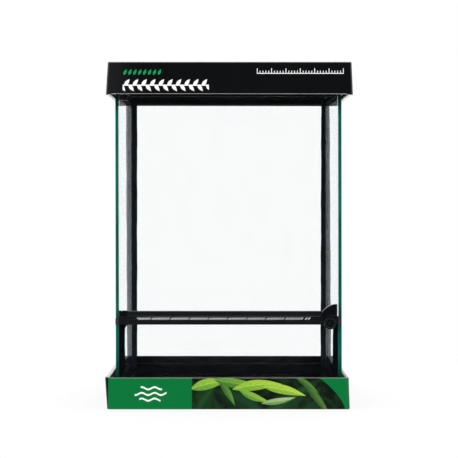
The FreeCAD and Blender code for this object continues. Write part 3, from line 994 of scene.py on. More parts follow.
def skin(rings: Sequence[Ring], closed: bool = False) -> tuple[Ring, list[Face]]:
    """Joins rings of equally many points into a closed skin.

    Args:
        rings: Closed rings, one after the other.
        closed: Whether the last ring joins the first; otherwise both ends are capped.

    Returns:
        The points and the faces.
    """
    size = len(rings[0])
    points = [p for ring in rings for p in ring]
    faces: list[Face] = []
    for i in range(len(rings) if closed else len(rings) - 1):
        a, b = i * size, (i + 1) % len(rings) * size
        faces += [(a + k, a + (k + 1) % size, b + (k + 1) % size, b + k) for k in range(size)]
    if not closed:
        faces.append(tuple(reversed(range(size))))
        faces.append(tuple(range((len(rings) - 1) * size, len(rings) * size)))
    return points, faces


def skin_piece(name: str, rings: Sequence[Ring], closed: bool = False) -> bpy.types.Object:
    """Makes a piece from rings, as skin does, and turns its faces outwards."""
    return closed_piece(name, *skin(rings, closed))


def wobble(a: float, b: float = 0.0, seed: float = 0.0) -> float:
    """Makes a smooth unevenness.

    Args:
        a: Place along the run.
        b: Place across it.
        seed: Makes one unevenness unlike another.

    Returns:
        A value between about -1 and 1.
    """
    return (
        0.5 * math.sin(a * 0.61 + 1.3 * seed + 0.7 * math.sin(b * 0.23 + seed))
        + 0.3 * math.sin(a * 1.43 + 2.1 * seed + b * 0.37)
        + 0.2 * math.sin(a * 3.1 + b * 0.9 + 4.7 * seed)
    )


def paint(piece: bpy.types.Object, name: str, values: Sequence[float], domain: str = "POINT") -> None:
    """Stores a mask on a mesh.

    Args:
        piece: The piece.
        name: Name of the mask.
        values: One value for each point or face.
        domain: POINT or FACE.
    """
    layer = piece.data.attributes.new(name, "FLOAT", domain)
    layer.data.foreach_set("value", np.array(values, np.float32))


def fit(
    piece: bpy.types.Object, body: str, slot: str, *nodes: str,
    finishes: Sequence[bpy.types.Material] = (),
) -> bpy.types.Object:
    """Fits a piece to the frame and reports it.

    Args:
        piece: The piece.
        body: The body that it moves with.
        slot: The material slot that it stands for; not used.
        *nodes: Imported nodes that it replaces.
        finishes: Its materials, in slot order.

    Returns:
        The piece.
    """
    for material in finishes:
        piece.data.materials.append(material)
    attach(piece, body)
    if nodes:
        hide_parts(*nodes)
    LOG.info("%s rides on %s: %d faces", piece.name, body, len(piece.data.polygons))
    return piece


# ---- Card tray and cap ----------------------------------------------------------------
class Opening(Enum):
    """Which way a card box opens."""

    UP = 1
    DOWN = -1


@dataclass
class CardBox:
    """A box of folded card: a panel and four walls that lean out a little.

    The front and back walls are rolled over at the open edge; the side walls are cut there.
    Its rings run from the middle of the panel up the outside, over the open edge, and down
    the lining to the middle again. The margins are the distances that the first and the last
    ring of a run keep from a fold or from the open edge.
    """

    piece_name: str
    node: str
    body: str
    slot: str
    opening: Opening
    out: dict[str, float] = field(default_factory=dict)
    lean: dict[str, float] = field(default_factory=dict)
    inner_lean: dict[str, float] = field(default_factory=dict)
    bow: float = 0.6
    front_edges: tuple[float, float] = (0.0, 0.0)
    side_edges: tuple[float, float] = (0.0, 0.0)
    back_edges: tuple[float, float] = (0.0, 0.0)
    fold_radius: float = 1.4
    corner_radius: float = 2.6
    board: float = 3.0
    # The fold, corner, rim and bend shares set the crease mask: wear on the folds, and a painted highlight
    # along them.
    fold_wear_and_highlight: float = 0.35
    corner_wear_and_highlight: float = 0.12
    edge_round: float = 0.9
    panel_insets: tuple[float, float, float] = (158.0, 120.0, 60.0)
    panel_radius: float = 0.6
    panel_margins: tuple[float, float] = (6.0, 1.0)
    wall_margins: tuple[float, float] = (2.0, 0.8)
    lining_margins: tuple[float, float] = (1.5, 0.6)
    lining_radii: tuple[float, float, float] = (0.8, 0.5, 0.4)
    rim_wear_and_highlight: float = 0.4
    bend_wear_and_highlight: float = 0.8
    cut_cover: float = 0.65
    side_turn: float = 0.6
    least_radius: float = 0.05
    corner_blend: float = 4.0
    unevenness: float = 0.12
    side_steps: int = 40
    corner_steps: int = 6
    fold_steps: int = 6
    rim_steps: int = 4
    wall_rings: int = 10
    lining_rings: int = 6

    def _walls(self, half: float, height: float, layer: str, inner: float) -> dict[str, float]:
        """Works out how far each wall stands from the middle at one height.

        Args:
            half: Half width of the box there, without the lean.
            height: Distance from the closed panel as a share of the wall.
            layer: The layer that the ring belongs to: outer, inner or panel.
            inner: Extra distance inwards.

        Returns:
            The distance for left, right, front and back.
        """
        out = {"outer": self.out, "inner": {}, "panel": {}}[layer]
        lean = {"outer": self.lean, "inner": self.inner_lean, "panel": {}}[layer]
        turn = height**4 if layer == "inner" else height
        return {
            key: half - inner + out.get(key, 0.0) + lean.get(key, 0.0) * turn
            for key in ("left", "right", "front", "back")
        }

    def _ring(self, walls: dict[str, float], z: float, radius: float, height: float, ripple: float) -> Ring:
        """Lays one rounded ring around the box.

        Args:
            walls: Distance of each wall.
            z: Height of the ring.
            radius: Radius of its corners.
            height: Distance from the closed panel as a share of the wall.
            ripple: How much of the bow and the unevenness it has.

        Returns:
            The ring's points, anticlockwise from the left end of the front.
        """
        left, right, front, back = (walls[k] for k in ("left", "right", "front", "back"))
        corners = [
            (-left + radius, -front + radius, -math.pi),
            (right - radius, -front + radius, -math.pi / 2),
            (right - radius, back - radius, 0.0),
            (-left + radius, back - radius, math.pi / 2),
        ]
        ring: Ring = []
        for index, (cx, cy, start) in enumerate(corners):
            for step in range(self.corner_steps + 1):
                angle = start + math.pi / 2 * step / self.corner_steps
                ring.append((cx + radius * math.cos(angle), cy + radius * math.sin(angle), z))
            nx, ny, begin = corners[(index + 1) % 4]
            out = (math.cos(begin), math.sin(begin))
            here, there = ring[-1], (nx + radius * out[0], ny + radius * out[1])
            for step in range(1, self.side_steps):
                t = step / self.side_steps
                push = ripple * height * (
                    self.bow * (1 - (2 * t - 1) ** 2) + self.unevenness * wobble(t * 9, height * 4, index + 1)
                )
                x, y = (a + (b - a) * t + c * push for a, b, c in zip(here, there, out))
                ring.append((x, y, z))
        return ring

    def build(self) -> bpy.types.Object:
        """Builds the box.

        Returns:
            The piece, with its masks for the front, the folds, the cut edges and the lining.
        """
        span = Span.of(self.node)
        wall, tall = span.high.x, span.high.z - span.low.z
        fold, round_, board = self.fold_radius, self.edge_round, self.board
        rings: list[Ring] = []
        folds: list[float] = []
        linings: list[float] = []

        def level(rise: float) -> float:
            """Returns the height above the floor of a distance from the closed panel."""
            return span.low.z + rise if self.opening is Opening.UP else span.high.z - rise

        def lay(
            half: float, rise: float, radius: float, layer: str, inner: float = 0.0,
            worn_and_highlight: float = 0.0, lining: float = 0.0, ripple: float = 1.0,
        ) -> None:
            """Lays one ring and notes its masks.

            Args:
                half: Half width of the box there, without the lean.
                rise: Distance from the closed panel.
                radius: Radius of its corners.
                layer: The layer that it belongs to: outer, inner or panel.
                inner: Extra distance inwards.
                worn_and_highlight: How much it lies on a fold.
                lining: 1 on the lining.
                ripple: How much of the bow and the unevenness it has.
            """
            height = max(0.0, rise / tall)
            walls = self._walls(half, height, layer, inner)
            rings.append(self._ring(walls, level(rise), max(radius, self.least_radius), height, ripple))
            folds.append(worn_and_highlight)
            linings.append(lining)

        for inset in (*self.panel_insets, *(fold + margin for margin in self.panel_margins)):
            lay(wall - inset, 0.0, self.panel_radius, "panel", ripple=0.0)
        for step in range(self.fold_steps + 1):
            angle = math.pi / 2 * step / self.fold_steps
            rise, inner = fold - fold * math.cos(angle), fold - fold * math.sin(angle)
            lay(wall, rise, self.corner_radius, "outer", inner, self.fold_wear_and_highlight * math.sin(2 * angle) ** 2)
        low, high = self.wall_margins
        for rise in np.linspace(fold + low, tall - round_ - high, self.wall_rings):
            lay(wall, float(rise), self.corner_radius, "outer")
        for step in range(self.rim_steps + 1):
            angle = math.pi / 2 * step / self.rim_steps
            rise, inner = tall - round_ + round_ * math.sin(angle), round_ * (1 - math.cos(angle))
            lay(wall, rise, self.corner_radius, "outer", inner, math.sin(angle) ** 2)
        rim_out = len(rings) - 1
        high, low = self.lining_margins
        lining_radius, fold_radius, floor_radius = self.lining_radii
        for step in range(self.rim_steps + 1):
            angle = math.pi / 2 * (1 - step / self.rim_steps)
            rise, inner = tall - round_ + round_ * math.sin(angle), -round_ * (1 - math.cos(angle))
            lined = 0.0 if step < self.rim_steps / 2 else 1.0
            lay(wall - board, rise, lining_radius, "inner", inner, self.rim_wear_and_highlight * math.sin(angle), lined)
        for rise in np.linspace(tall - round_ - high, board + low, self.lining_rings):
            lay(wall - board, float(rise), lining_radius, "inner", lining=1.0)
        lay(wall - board, board, fold_radius, "inner", low, lining=1.0, ripple=0.0)
        for inset in (*reversed(self.panel_insets[1:]), self.panel_insets[0] - board):
            lay(wall - board - inset, board, floor_radius, "panel", lining=1.0, ripple=0.0)

        for index, ring in enumerate(rings):
            rise = abs(ring[0][2] - level(0.0)) / tall
            if rise > 0.5:
                reach = self.opening.value * (2 * rise - 1)
                rings[index] = [(x, y, z + reach * self._edge(x, y, wall)) for x, y, z in ring]
        piece = skin_piece(self.piece_name, rings)
        self._masks(piece, rings, folds, linings, rim_out, wall)
        return piece

    def _on_side(self, x: float, wall: float) -> float:
        """Returns 1 on a side wall, 0 on the front or back, and a slope at the corners."""
        return ramp((abs(x) - wall + self.corner_blend) / self.corner_blend)

    def _edge(self, x: float, y: float, wall: float) -> float:
        """Works out how far the open edge reaches beyond its packed height.

        Args:
            x: Distance to the right.
            y: Distance to the back.
            wall: Half width of the box.

        Returns:
            The distance in millimetres.
        """
        first, later = self.side_edges
        share = ramp((y + wall) / (self.side_turn * wall))
        side = first + (later - first) * share * share * (3 - 2 * share)
        left, right = self.front_edges if y < 0 else self.back_edges
        end = left + (right - left) * (x / wall + 1) / 2
        return end + (side - end) * self._on_side(x, wall)

    def _masks(
        self, piece: bpy.types.Object, rings: list[Ring], folds: list[float], linings: list[float],
        rim: int, wall: float,
    ) -> None:
        """Paints the masks that the card's finish reads.

        Args:
            piece: The box.
            rings: Its rings.
            folds: How much each ring lies on a fold.
            linings: Which rings belong to the lining.
            rim: Number of the last ring outside the open edge.
            wall: Half width of the box.
        """
        masks: dict[str, list[float]] = {"crease_wear_and_highlight": [], "across": [], "cut": [], "lining": []}
        corner = self.corner_steps + self.side_steps
        panel = len(self.panel_insets) + 2
        for number, (ring, fold, lining) in enumerate(zip(rings, folds, linings)):
            beyond = number - rim
            at_rim = -self.rim_steps <= beyond <= self.rim_steps + 1
            on_cut = 1.0 if 1 - self.rim_steps <= beyond <= self.rim_steps else 0.0
            for k, (x, y, _) in enumerate(ring):
                side = self._on_side(x, wall)
                step = k % corner
                bend = math.sin(math.pi * step / self.corner_steps) ** 2 if step <= self.corner_steps else 0.0
                bent = bend * (0 if fold == 0 and number < panel else 1) * (lining < 0.5)
                rolled = fold * (1 - self.cut_cover * side if at_rim else self.bend_wear_and_highlight)
                along = ramp((wall - self.corner_radius - 0.6 - abs(y)) / 0.8)
                # The crease mask is fold wear together with a painted highlight on the rolled edges and the
                # corners.
                masks["crease_wear_and_highlight"].append(max(rolled, self.corner_wear_and_highlight * bent))
                masks["across"].append(ramp((beyond + 3) / 7) if at_rim else float(beyond >= 0))
                masks["cut"].append(side * along * on_cut)
                masks["lining"].append(lining)
        for name, values in masks.items():
            paint(piece, name, values)
        front = []
        for polygon in piece.data.polygons:
            centre = polygon.center / MM
            front.append(1.0 if polygon.normal.y < -0.75 and centre.y < -wall + 3 else 0.0)
        paint(piece, "front", front, "FACE")

    def dress(self, piece: bpy.types.Object, finish: LaminatedCard, artwork: Artwork) -> None:
        """Dresses the box in printed card and fits it.

        Args:
            piece: The box.
            finish: Its card.
            artwork: The print on its front.
        """
        fit(piece, self.body, self.slot, self.node, finishes=[finish.material(artwork)])


@dataclass(frozen=True)
class TrayArtwork:
    """The tray's front: plain green at both ends and a band of foliage between them."""

    green: Colour = (0.0002, 0.17, 0.038)
    night: Colour = (0.0045, 0.009, 0.0055)
    moss: Colour = (0.012, 0.04, 0.014)
    white: Colour = (0.86, 0.9, 0.86)
    black: Colour = (0.0035, 0.0038, 0.0042)
    mottle: Colour = (0.01, 0.04, 0.01)
    border_left: float = -159.2
    border_right: float = 158.9
    band_start: float = -48.5
    band_end: float = 121.0
    band_height: float = 41.5
    band_sweep: float = 33.0
    band_curve: float = 1.6
    waves: tuple[Point, ...] = ((28.0, -116.0, -88.0), (20.5, -124.0, -82.0), (13.0, -118.0, -90.0))
    wave_length: float = 17.0
    wave_height: float = 1.5
    leaves: tuple[LeafBlade, ...] = (
        LeafBlade(-30, 8, 62, 54, 15, (0.006, 0.03, 0.01), (0.014, 0.07, 0.02), 2.0, 0.5, 0.1),
        LeafBlade(18, 6, -28, 78, 22, (0.005, 0.026, 0.009), (0.012, 0.055, 0.02), 3.0, 0.6, 0.1),
        LeafBlade(78, 12, 35, 80, 20, (0.006, 0.03, 0.012), (0.02, 0.075, 0.024), -3.0, 0.5, 0.15),
        LeafBlade(116, 14, -52, 60, 9, (0.03, 0.09, 0.02), (0.085, 0.2, 0.035), 1.5, 0.3, 0.3),
        LeafBlade(-26, 32, 12, 50, 14, (0.12, 0.3, 0.035), (0.3, 0.52, 0.05), 2.0, 0.08, 0.6),
        LeafBlade(-2, 22, -58, 40, 8.5, (0.035, 0.12, 0.02), (0.1, 0.26, 0.035), 1.0, 0.12, 0.4),
        LeafBlade(10, 36, -7, 60, 12, (0.05, 0.17, 0.025), (0.17, 0.38, 0.04), -1.5, 0.08, 0.5),
        LeafBlade(38, 30, 6, 66, 13.5, (0.16, 0.36, 0.03), (0.36, 0.58, 0.045), 2.5, 0.05, 0.5),
        LeafBlade(34, 18, -22, 44, 9.5, (0.09, 0.27, 0.03), (0.25, 0.47, 0.05), -1.5, 0.06, 0.5),
        LeafBlade(74, 24, -12, 58, 12, (0.2, 0.4, 0.035), (0.42, 0.6, 0.06), 2.0, 0.05, 0.5),
        LeafBlade(66, 12, 10, 46, 8, (0.1, 0.27, 0.05), (0.4, 0.52, 0.25), -1.0, 0.07, 0.45),
        LeafBlade(103, 33, -35, 38, 7.5, (0.03, 0.1, 0.02), (0.09, 0.22, 0.035), 1.0, 0.15, 0.4),
    )

    def __call__(self, graph: Graph, place: Socket) -> Socket:
        """Adds the print to a graph.

        Args:
            graph: Graph of the card's material.
            place: The point on the piece.

        Returns:
            The print's colour.
        """
        x, _, z = graph.split(place)
        page = graph.page(x, z)
        shade = graph.noise(page, 0.05, 3.0, 0.8)
        colour = graph.blend(graph.span(shade, 0.42, 0.72), self.night, self.moss)
        for leaf in self.leaves:
            node = graph.group(
                Effects.leaf(), Vector=page, Centre=(leaf.x, leaf.z, 0.0), Turn=math.radians(leaf.turn),
                Length=leaf.length, Width=leaf.width, Bend=leaf.bend, Softness=leaf.soft,
            )
            blade = graph.blend(node.outputs["Shade"], leaf.dark, leaf.light)
            rib = graph.math("MULTIPLY", node.outputs["Ribs"], leaf.ribs)
            blade = graph.blend(rib, blade, tuple(min(1.0, c * 1.5 + 0.02) for c in leaf.light))
            colour = graph.blend(node.outputs["Mask"], colour, blade)
        mottled = graph.span(graph.noise(page, 0.4, 3.0), 0.4, 0.8, 0.0, 0.25)
        colour = graph.blend(mottled, colour, self.mottle)
        start = graph.span(x, self.band_start - 0.2, self.band_start + 0.2, 1.0, 0.0)
        sweep = graph.math("POWER", graph.math("DIVIDE", z, self.band_height), self.band_curve)
        bound = graph.math("MULTIPLY_ADD", sweep, -self.band_sweep, self.band_end + self.band_sweep)
        end = graph.span(graph.math("SUBTRACT", x, bound), -0.25, 0.25)
        colour = graph.blend(graph.math("MAXIMUM", start, end), colour, self.green)
        colour = graph.blend(self._air(graph, x, z), colour, self.white)
        printed = graph.between(x, self.border_left, self.border_right, 0.15)
        return graph.blend(printed, self.black, colour)

    def _air(self, graph: Graph, x: Socket, z: Socket) -> Feed:
        """Draws three wavy lines that stand for moving air.

        Args:
            graph: Graph of the card's material.
            x: Distance to the right.
            z: Height.

        Returns:
            Their mask.
        """
        turn = graph.math("MULTIPLY", x, math.tau / self.wave_length)
        wave = graph.math("MULTIPLY", graph.math("SINE", turn), self.wave_height)
        mask: Feed = 0.0
        for middle, start, end in self.waves:
            line = graph.close(graph.math("SUBTRACT", graph.math("SUBTRACT", z, wave), middle), 1.0, 1.35)
            run = graph.between(x, start, end, 0.3)
            mask = graph.math("MAXIMUM", mask, graph.math("MULTIPLY", line, run))
        return mask


@dataclass(frozen=True)
class LeafRow:
    """A row of equal printed leaves: its start, end, pitch and height, and its leaf, in millimetres."""

    start: float
    end: float
    pitch: float
    middle: float
    turn: float
    length: float
    width: float
    softness: float = 0.05

    def mask(self, graph: Graph, x: Socket, z: Socket, side: int = 0, rise: float = 0.0) -> Socket:
        """Draws the leaves.

        Args:
            graph: Graph of the card's material.
            x: Distance to the right.
            z: Height.
            side: 0 for the row itself; 1 for the leaves over a stem, -1 for those under it,
                which stand half a pitch on.
            rise: Middle of a leaf over or under the row.

        Returns:
            Their mask.
        """
        start = self.start + self.pitch / 2 if side < 0 else self.start
        along = graph.math("WRAP", graph.math("SUBTRACT", x, start), self.pitch, 0.0)
        node = graph.group(
            Effects.leaf(), Vector=graph.page(along, graph.math("SUBTRACT", z, self.middle)),
            Centre=(self.pitch / 2, -rise if side < 0 else rise, 0.0),
            Turn=math.radians(-self.turn if side < 0 else self.turn),
            Length=self.length, Width=self.width, Bend=0.0, Softness=self.softness,
        )
        return node.outputs["Mask"]


@dataclass(frozen=True)
class CapArtwork:
    """The cap's front: a white sprig under a row of small green leaves, and a scale of ticks.

    Each pair for the stem, a tick and the line under the ticks is where its ink starts to
    fade and where it ends, from its middle.
    """

    black: Colour = (0.0035, 0.0038, 0.0042)
    left_end_tone: Colour = (0.0105, 0.012, 0.0135)
    white: Colour = (0.88, 0.88, 0.88)
    green: Colour = (0.004, 0.3, 0.1)
    sprig: LeafRow = LeafRow(-140.0, -26.0, 11.4, 429.0, 52, 11.0, 4.6)
    sprig_rise: float = 3.6
    row: LeafRow = LeafRow(-140.0, -88.0, 6.5, 446.4, 65, 8.4, 3.4)
    scale_start: float = 38.0
    scale_end: float = 152.0
    scale_z: float = 444.6
    tick_pitch: float = 3.8
    tick_heights: tuple[float, float] = (6.6, 3.6)
    tick: tuple[float, float] = (0.35, 0.55)
    line: tuple[float, float] = (0.35, 0.6)
    stem: tuple[float, float] = (0.6, 0.85)
    palest: float = 1.4
    left_end_span: tuple[float, float] = (-164.0, -118.0)

    def _scale(self, graph: Graph, x: Socket, z: Socket) -> Socket:
        """Draws a scale of ticks, of which every fifth is long.

        Args:
            graph: Graph of the card's material.
            x: Distance to the right.
            z: Height.

        Returns:
            Its mask.
        """
        offset = graph.math("SUBTRACT", x, self.scale_start)
        tick = graph.close(graph.math("PINGPONG", offset, self.tick_pitch / 2), *self.tick)
        fifth = graph.math("PINGPONG", offset, self.tick_pitch * 2.5)
        reach = graph.span(fifth, 0.9, 1.0, *self.tick_heights)
        over = graph.math("SUBTRACT", z, self.scale_z)
        low, high = graph.math("LESS_THAN", over, reach), graph.math("GREATER_THAN", over, 0.0)
        ticks = graph.math("MULTIPLY", tick, graph.math("MULTIPLY", low, high))
        scale = graph.math("MAXIMUM", ticks, graph.close(over, *self.line))
        run = graph.between(x, self.scale_start - 0.4, self.scale_end + 0.4, 0.1)
        return graph.math("MULTIPLY", scale, run)

    def __call__(self, graph: Graph, place: Socket) -> Socket:
        """Adds the print to a graph.

        Args:
            graph: Graph of the card's material.
            place: The point on the piece.

        Returns:
            The print's colour.
        """
        x, _, z = graph.split(place)
        leaves = (self.sprig.mask(graph, x, z, side, self.sprig_rise) for side in (1, -1))
        stem = graph.close(graph.math("SUBTRACT", z, self.sprig.middle), *self.stem)
        sprig = graph.math("MAXIMUM", graph.math("MAXIMUM", *leaves), stem)
        sprig = graph.math("MULTIPLY", sprig, graph.between(x, self.sprig.start, self.sprig.end, 0.1))
        row = self.row.mask(graph, x, z)
        row = graph.math("MULTIPLY", row, graph.between(x, self.row.start, self.row.end, 0.1))
        tone = graph.noise(place, 0.02, 2.0)
        colour = graph.blend(tone, self.black, scaled(self.black, self.palest))
        # The print is made lighter towards the left end of the front.
        colour = graph.blend(graph.span(x, *self.left_end_span, 1.0, 0.0), colour, self.left_end_tone)
        colour = graph.blend(row, colour, self.green)
        white = graph.math("MAXIMUM", sprig, self._scale(graph, x, z))
        return graph.blend(white, colour, self.white)


# ---- Glass ----------------------------------------------------------------------------
@dataclass(frozen=True)
class Stance:
    """How a side pane stands out of true, in millimetres."""

    shift: float = 0.0
    turn: float = 0.0
    lean: float = 0.0
    swell: float = 0.0
    twist: float = 0.0


@dataclass
class Glazing:
    """The six panes, each with ground edges."""

    arris: float = 0.35
    door_arris: float = 0.25
    stances: dict[str, Stance] = field(default_factory=lambda: {
        "left_pane": Stance(shift=-0.57, turn=1.0, lean=0.95, swell=0.3),
        "right_pane": Stance(shift=0.08, turn=-0.5, lean=0.55, swell=0.5, twist=-0.1),
    })
    # Painted shade colour for the door's top edge under the cap.
    cap_shadow_tone: Colour = (0.0005, 0.001, 0.001)
    panes: tuple[tuple[str, str, int], ...] = (
        ("bottom_pane", "tank", 2),
        ("back_pane", "tank", 1),
        ("left_pane", "tank", 0),
        ("right_pane", "tank", 0),
        ("front_lower_pane", "tank", 1),
    )

    def build(self, node: str, thin: int, arris: float) -> bpy.types.Object:
        """Builds one pane.

        Args:
            node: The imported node.
            thin: Axis that its thickness lies along.
            arris: Width of the bevel on its edges.

        Returns:
            The pane, with its clear faces in slot 0 and its edges in slot 1.
        """
        span = Span.of(node)
        work = block(span.low, span.high)
        stance = self.stances.get(node, Stance())
        middle = (span.low.x + span.high.x) / 2
        for vert in work.verts:
            back = (vert.co.y - span.low.y) / (span.high.y - span.low.y)
            down = (span.high.z - vert.co.z) / (span.high.z - span.low.z)
            if abs(vert.co.x) < abs(middle):
                vert.co.x -= math.copysign(stance.swell * (1 - back), middle)
            vert.co.x += stance.shift + (stance.turn + stance.twist * (1 - down)) * back + stance.lean * down
        soften(work, arris, 1)
        for face in work.faces:
            face.material_index = 0 if abs(face.normal[thin]) > 0.99 else 1
        return bm_piece(f"{node}_glass", work, smooth=False)

    def dress(self) -> None:
        """Builds, dresses and fits all the panes."""
        clear = ClearGlass().material()
        # Each side pane gets its own darker tint where it is seen edge-on: painted shade on the same clear
        # glass.
        sides = {
            "left_pane": ClearGlass("left_clear_glass", grazing=(0.67, 0.73, 0.78), sheen=0.2).material(),
            "right_pane": ClearGlass("right_clear_glass", grazing=(0.5, 0.57, 0.61), sheen=0.38).material(),
        }
        edge = GroundEdge().material()
        for node, body, thin in self.panes:
            pane = self.build(node, thin, self.arris)
            fit(pane, body, "glass", node, finishes=[sides.get(node, clear), edge])
        # The door's edges are painted pale, a painted reflection of the white backdrop, and their top is
        # painted dark, a painted shade under the cap.
        backdrop_pale_edge = GroundEdge(
            "door_edge_painted_backdrop", deep=(0.34, 0.5, 0.44), bright=(0.46, 0.62, 0.55),
            arris=(0.78, 0.86, 0.83), dark=self.cap_shadow_tone, fade=0.15, top=415.15,
        ).material()
        pane = self.build("door_pane", 1, self.door_arris)
        fit(pane, "door", "glass", "door_pane", finishes=[clear, backdrop_pale_edge])


@dataclass(frozen=True)
class Bead:
    """An upright bead: its corner, its reach along the two panes and its height, in millimetres.

    It runs backwards from its corner where into is 1, and forwards where it is -1. It gets
    narrower by taper towards its top, and flares out by flare just under it.
    """

    side: Side
    corner_x: float
    corner_y: float
    into: int
    width: float
    depth: float
    foot: float
    top: float
    flare: float = 0.0
    taper: float = 0.0

    def place(self, inwards: float, along: float, z: float) -> Point:
        """Returns the point at two distances from the corner and at a height."""
        return self.side.value * (self.corner_x - inwards), self.corner_y + self.into * along, z


@dataclass
class Seals:
    """Black sealant along the inside edges of the glass."""

    hollow: float = 0.36
    gap: float = 0.02
    arc_steps: int = 8
    run_step: float = 6.0
    unevenness: float = 0.35
    floor_unevenness: float = 0.07
    floor_steps: int = 36
    floor_hollow: tuple[float, float] = (0.28, 0.56)
    depth_unevenness: float = 0.7
    gusset: float = 4.5
    gusset_clear: float = 1.6
    gusset_reach: float = 1.5
    gusset_levels: tuple[float, ...] = (1.5, 1.0, 0.6, 0.3, 0.1, 0.0)
    rear_widths: tuple[float, float] = (8.9, 7.8)
    rear_tapers: tuple[float, float] = (0.0, 1.0)
    front_widths: tuple[float, float] = (8.4, 7.7)
    front_sunk: tuple[float, float] = (0.0, 0.4)

    def _rings(self, bead: Bead) -> list[Ring]:
        """Lays the rings of an upright bead.

        Args:
            bead: The bead.

        Returns:
            Its rings.
        """
        tall = bead.top - bead.foot
        count = max(2, round(tall / self.run_step))
        levels = [bead.foot + tall * i / count for i in range(count + 1)]
        if bead.flare:
            levels = [z for z in levels if z < bead.top - bead.flare * self.gusset_clear]
            levels += [bead.top - bead.flare * s for s in self.gusset_levels]
        rings: list[Ring] = []
        for z in levels:
            seed = 2.0 * bead.side.value + bead.into
            wide = bead.width + self.unevenness * wobble(z * 0.11, 0.0, seed)
            wide -= bead.taper * (z - bead.foot) / tall
            if bead.flare:
                reach = bead.flare * self.gusset_reach
                wide += bead.flare * max(0.0, 1 - (bead.top - z) / reach) ** 2
            uneven = self.depth_unevenness * self.unevenness
            deep = bead.depth + uneven * wobble(z * 0.13, 2.0, seed + 3)
            ring: Ring = [bead.place(self.gap, self.gap, z)]
            for step in range(self.arc_steps + 1):
                t = step / self.arc_steps
                pull = 4 * (0.5 - self.hollow) * t * (1 - t)
                a, b = wide * (t - pull / 2), deep * (1 - t - pull / 2)
                ring.append(bead.place(max(a, self.gap), max(b, self.gap), z))
            rings.append(ring)
        return rings

    def _join(self, name: str, beads: Iterable[Bead]) -> bpy.types.Object:
        """Makes one piece of several beads.

        Args:
            name: Name of the piece.
            beads: The beads.

        Returns:
            The piece.
        """
        points: Ring = []
        faces: list[Face] = []
        for bead in beads:
            more, sides = skin(self._rings(bead))
            faces += [tuple(i + len(points) for i in f) for f in sides]
            points += more
        return closed_piece(name, points, faces)

    def build_rear(self) -> bpy.types.Object:
        """Builds the two beads in the rear corners.

        Returns:
            The piece.
        """
        low, high = Span.of("rear_corner_seals").low, Span.of("rear_corner_seals").high
        return self._join("rear_corner_beads", (
            Bead(side, high.x, high.y, -1, width, high.y - low.y, low.z, high.z, taper=taper)
            for side, width, taper in zip(Side, self.rear_widths, self.rear_tapers)
        ))

    def build_front(self) -> bpy.types.Object:
        """Builds the two beads beside the lower front pane, flared under the bar.

        Returns:
            The piece.
        """
        low, high = Span.of("front_corner_seals").low, Span.of("front_corner_seals").high
        return self._join("front_corner_beads", (
            Bead(side, high.x + sunk, low.y, 1, width, high.y - low.y, low.z, high.z, self.gusset)
            for side, width, sunk in zip(Side, self.front_widths, self.front_sunk)
        ))

    def build_floor(self) -> bpy.types.Object:
        """Builds the bead around the floor.

        Returns:
            The piece.
        """
        span = Span.of("floor_seal")
        reach = span.high.z - span.low.z
        corners = [(-1, -1), (1, -1), (1, 1), (-1, 1)]
        rings: list[Ring] = []
        for index, (sx, sy) in enumerate(corners):
            ex, ey = corners[(index + 1) % 4]
            for step in range(self.floor_steps):
                t = step / self.floor_steps
                px, py = sx + (ex - sx) * t, sy + (ey - sy) * t
                size = reach * (1 + self.floor_unevenness * wobble(t * 17, 0.0, index))
                near, far = (size * share for share in self.floor_hollow)
                section = (
                    (self.gap, self.gap), (self.gap, size), (near, far), (far, near), (size, self.gap),
                )
                rings.append([
                    (px * (span.high.x - inset), py * (span.high.y - inset), span.low.z + rise)
                    for inset, rise in section
                ])
        return skin_piece("floor_bead", rings, closed=True)

    def dress(self) -> None:
        """Builds, dresses and fits the beads."""
        # One black sealant in three tones, lighter on the rear beads than on the front and floor beads: the
        # tones are painted light and shade.
        rear = Silicone("rear_sealant", (0.004, 0.0072, 0.0115))
        front = Silicone("front_sealant", (0.0012, 0.0026, 0.0042), 0.03)
        floor = Silicone("floor_sealant", (0.003, 0.004, 0.0052), 0.0)
        for piece, node, finish in (
            (self.build_rear(), "rear_corner_seals", rear),
            (self.build_front(), "front_corner_seals", front),
            (self.build_floor(), "floor_seal", floor),
        ):
            fit(piece, "tank", "silicone", node, finishes=[finish.material()])


# ---- Plastic frames, bar, door and lock -----------------------------------------------
@dataclass(frozen=True)
class MouldedPart:
    """One moulded part: what it stands for and how round its edges are, in millimetres."""

    name: str
    node: str
    body: str
    slot: str
    radius: float
    segments: int = 2

    def build(self) -> bpy.types.Object:
        """Moulds the part."""
        return moulded(self.name, self.node, self.radius, self.segments)


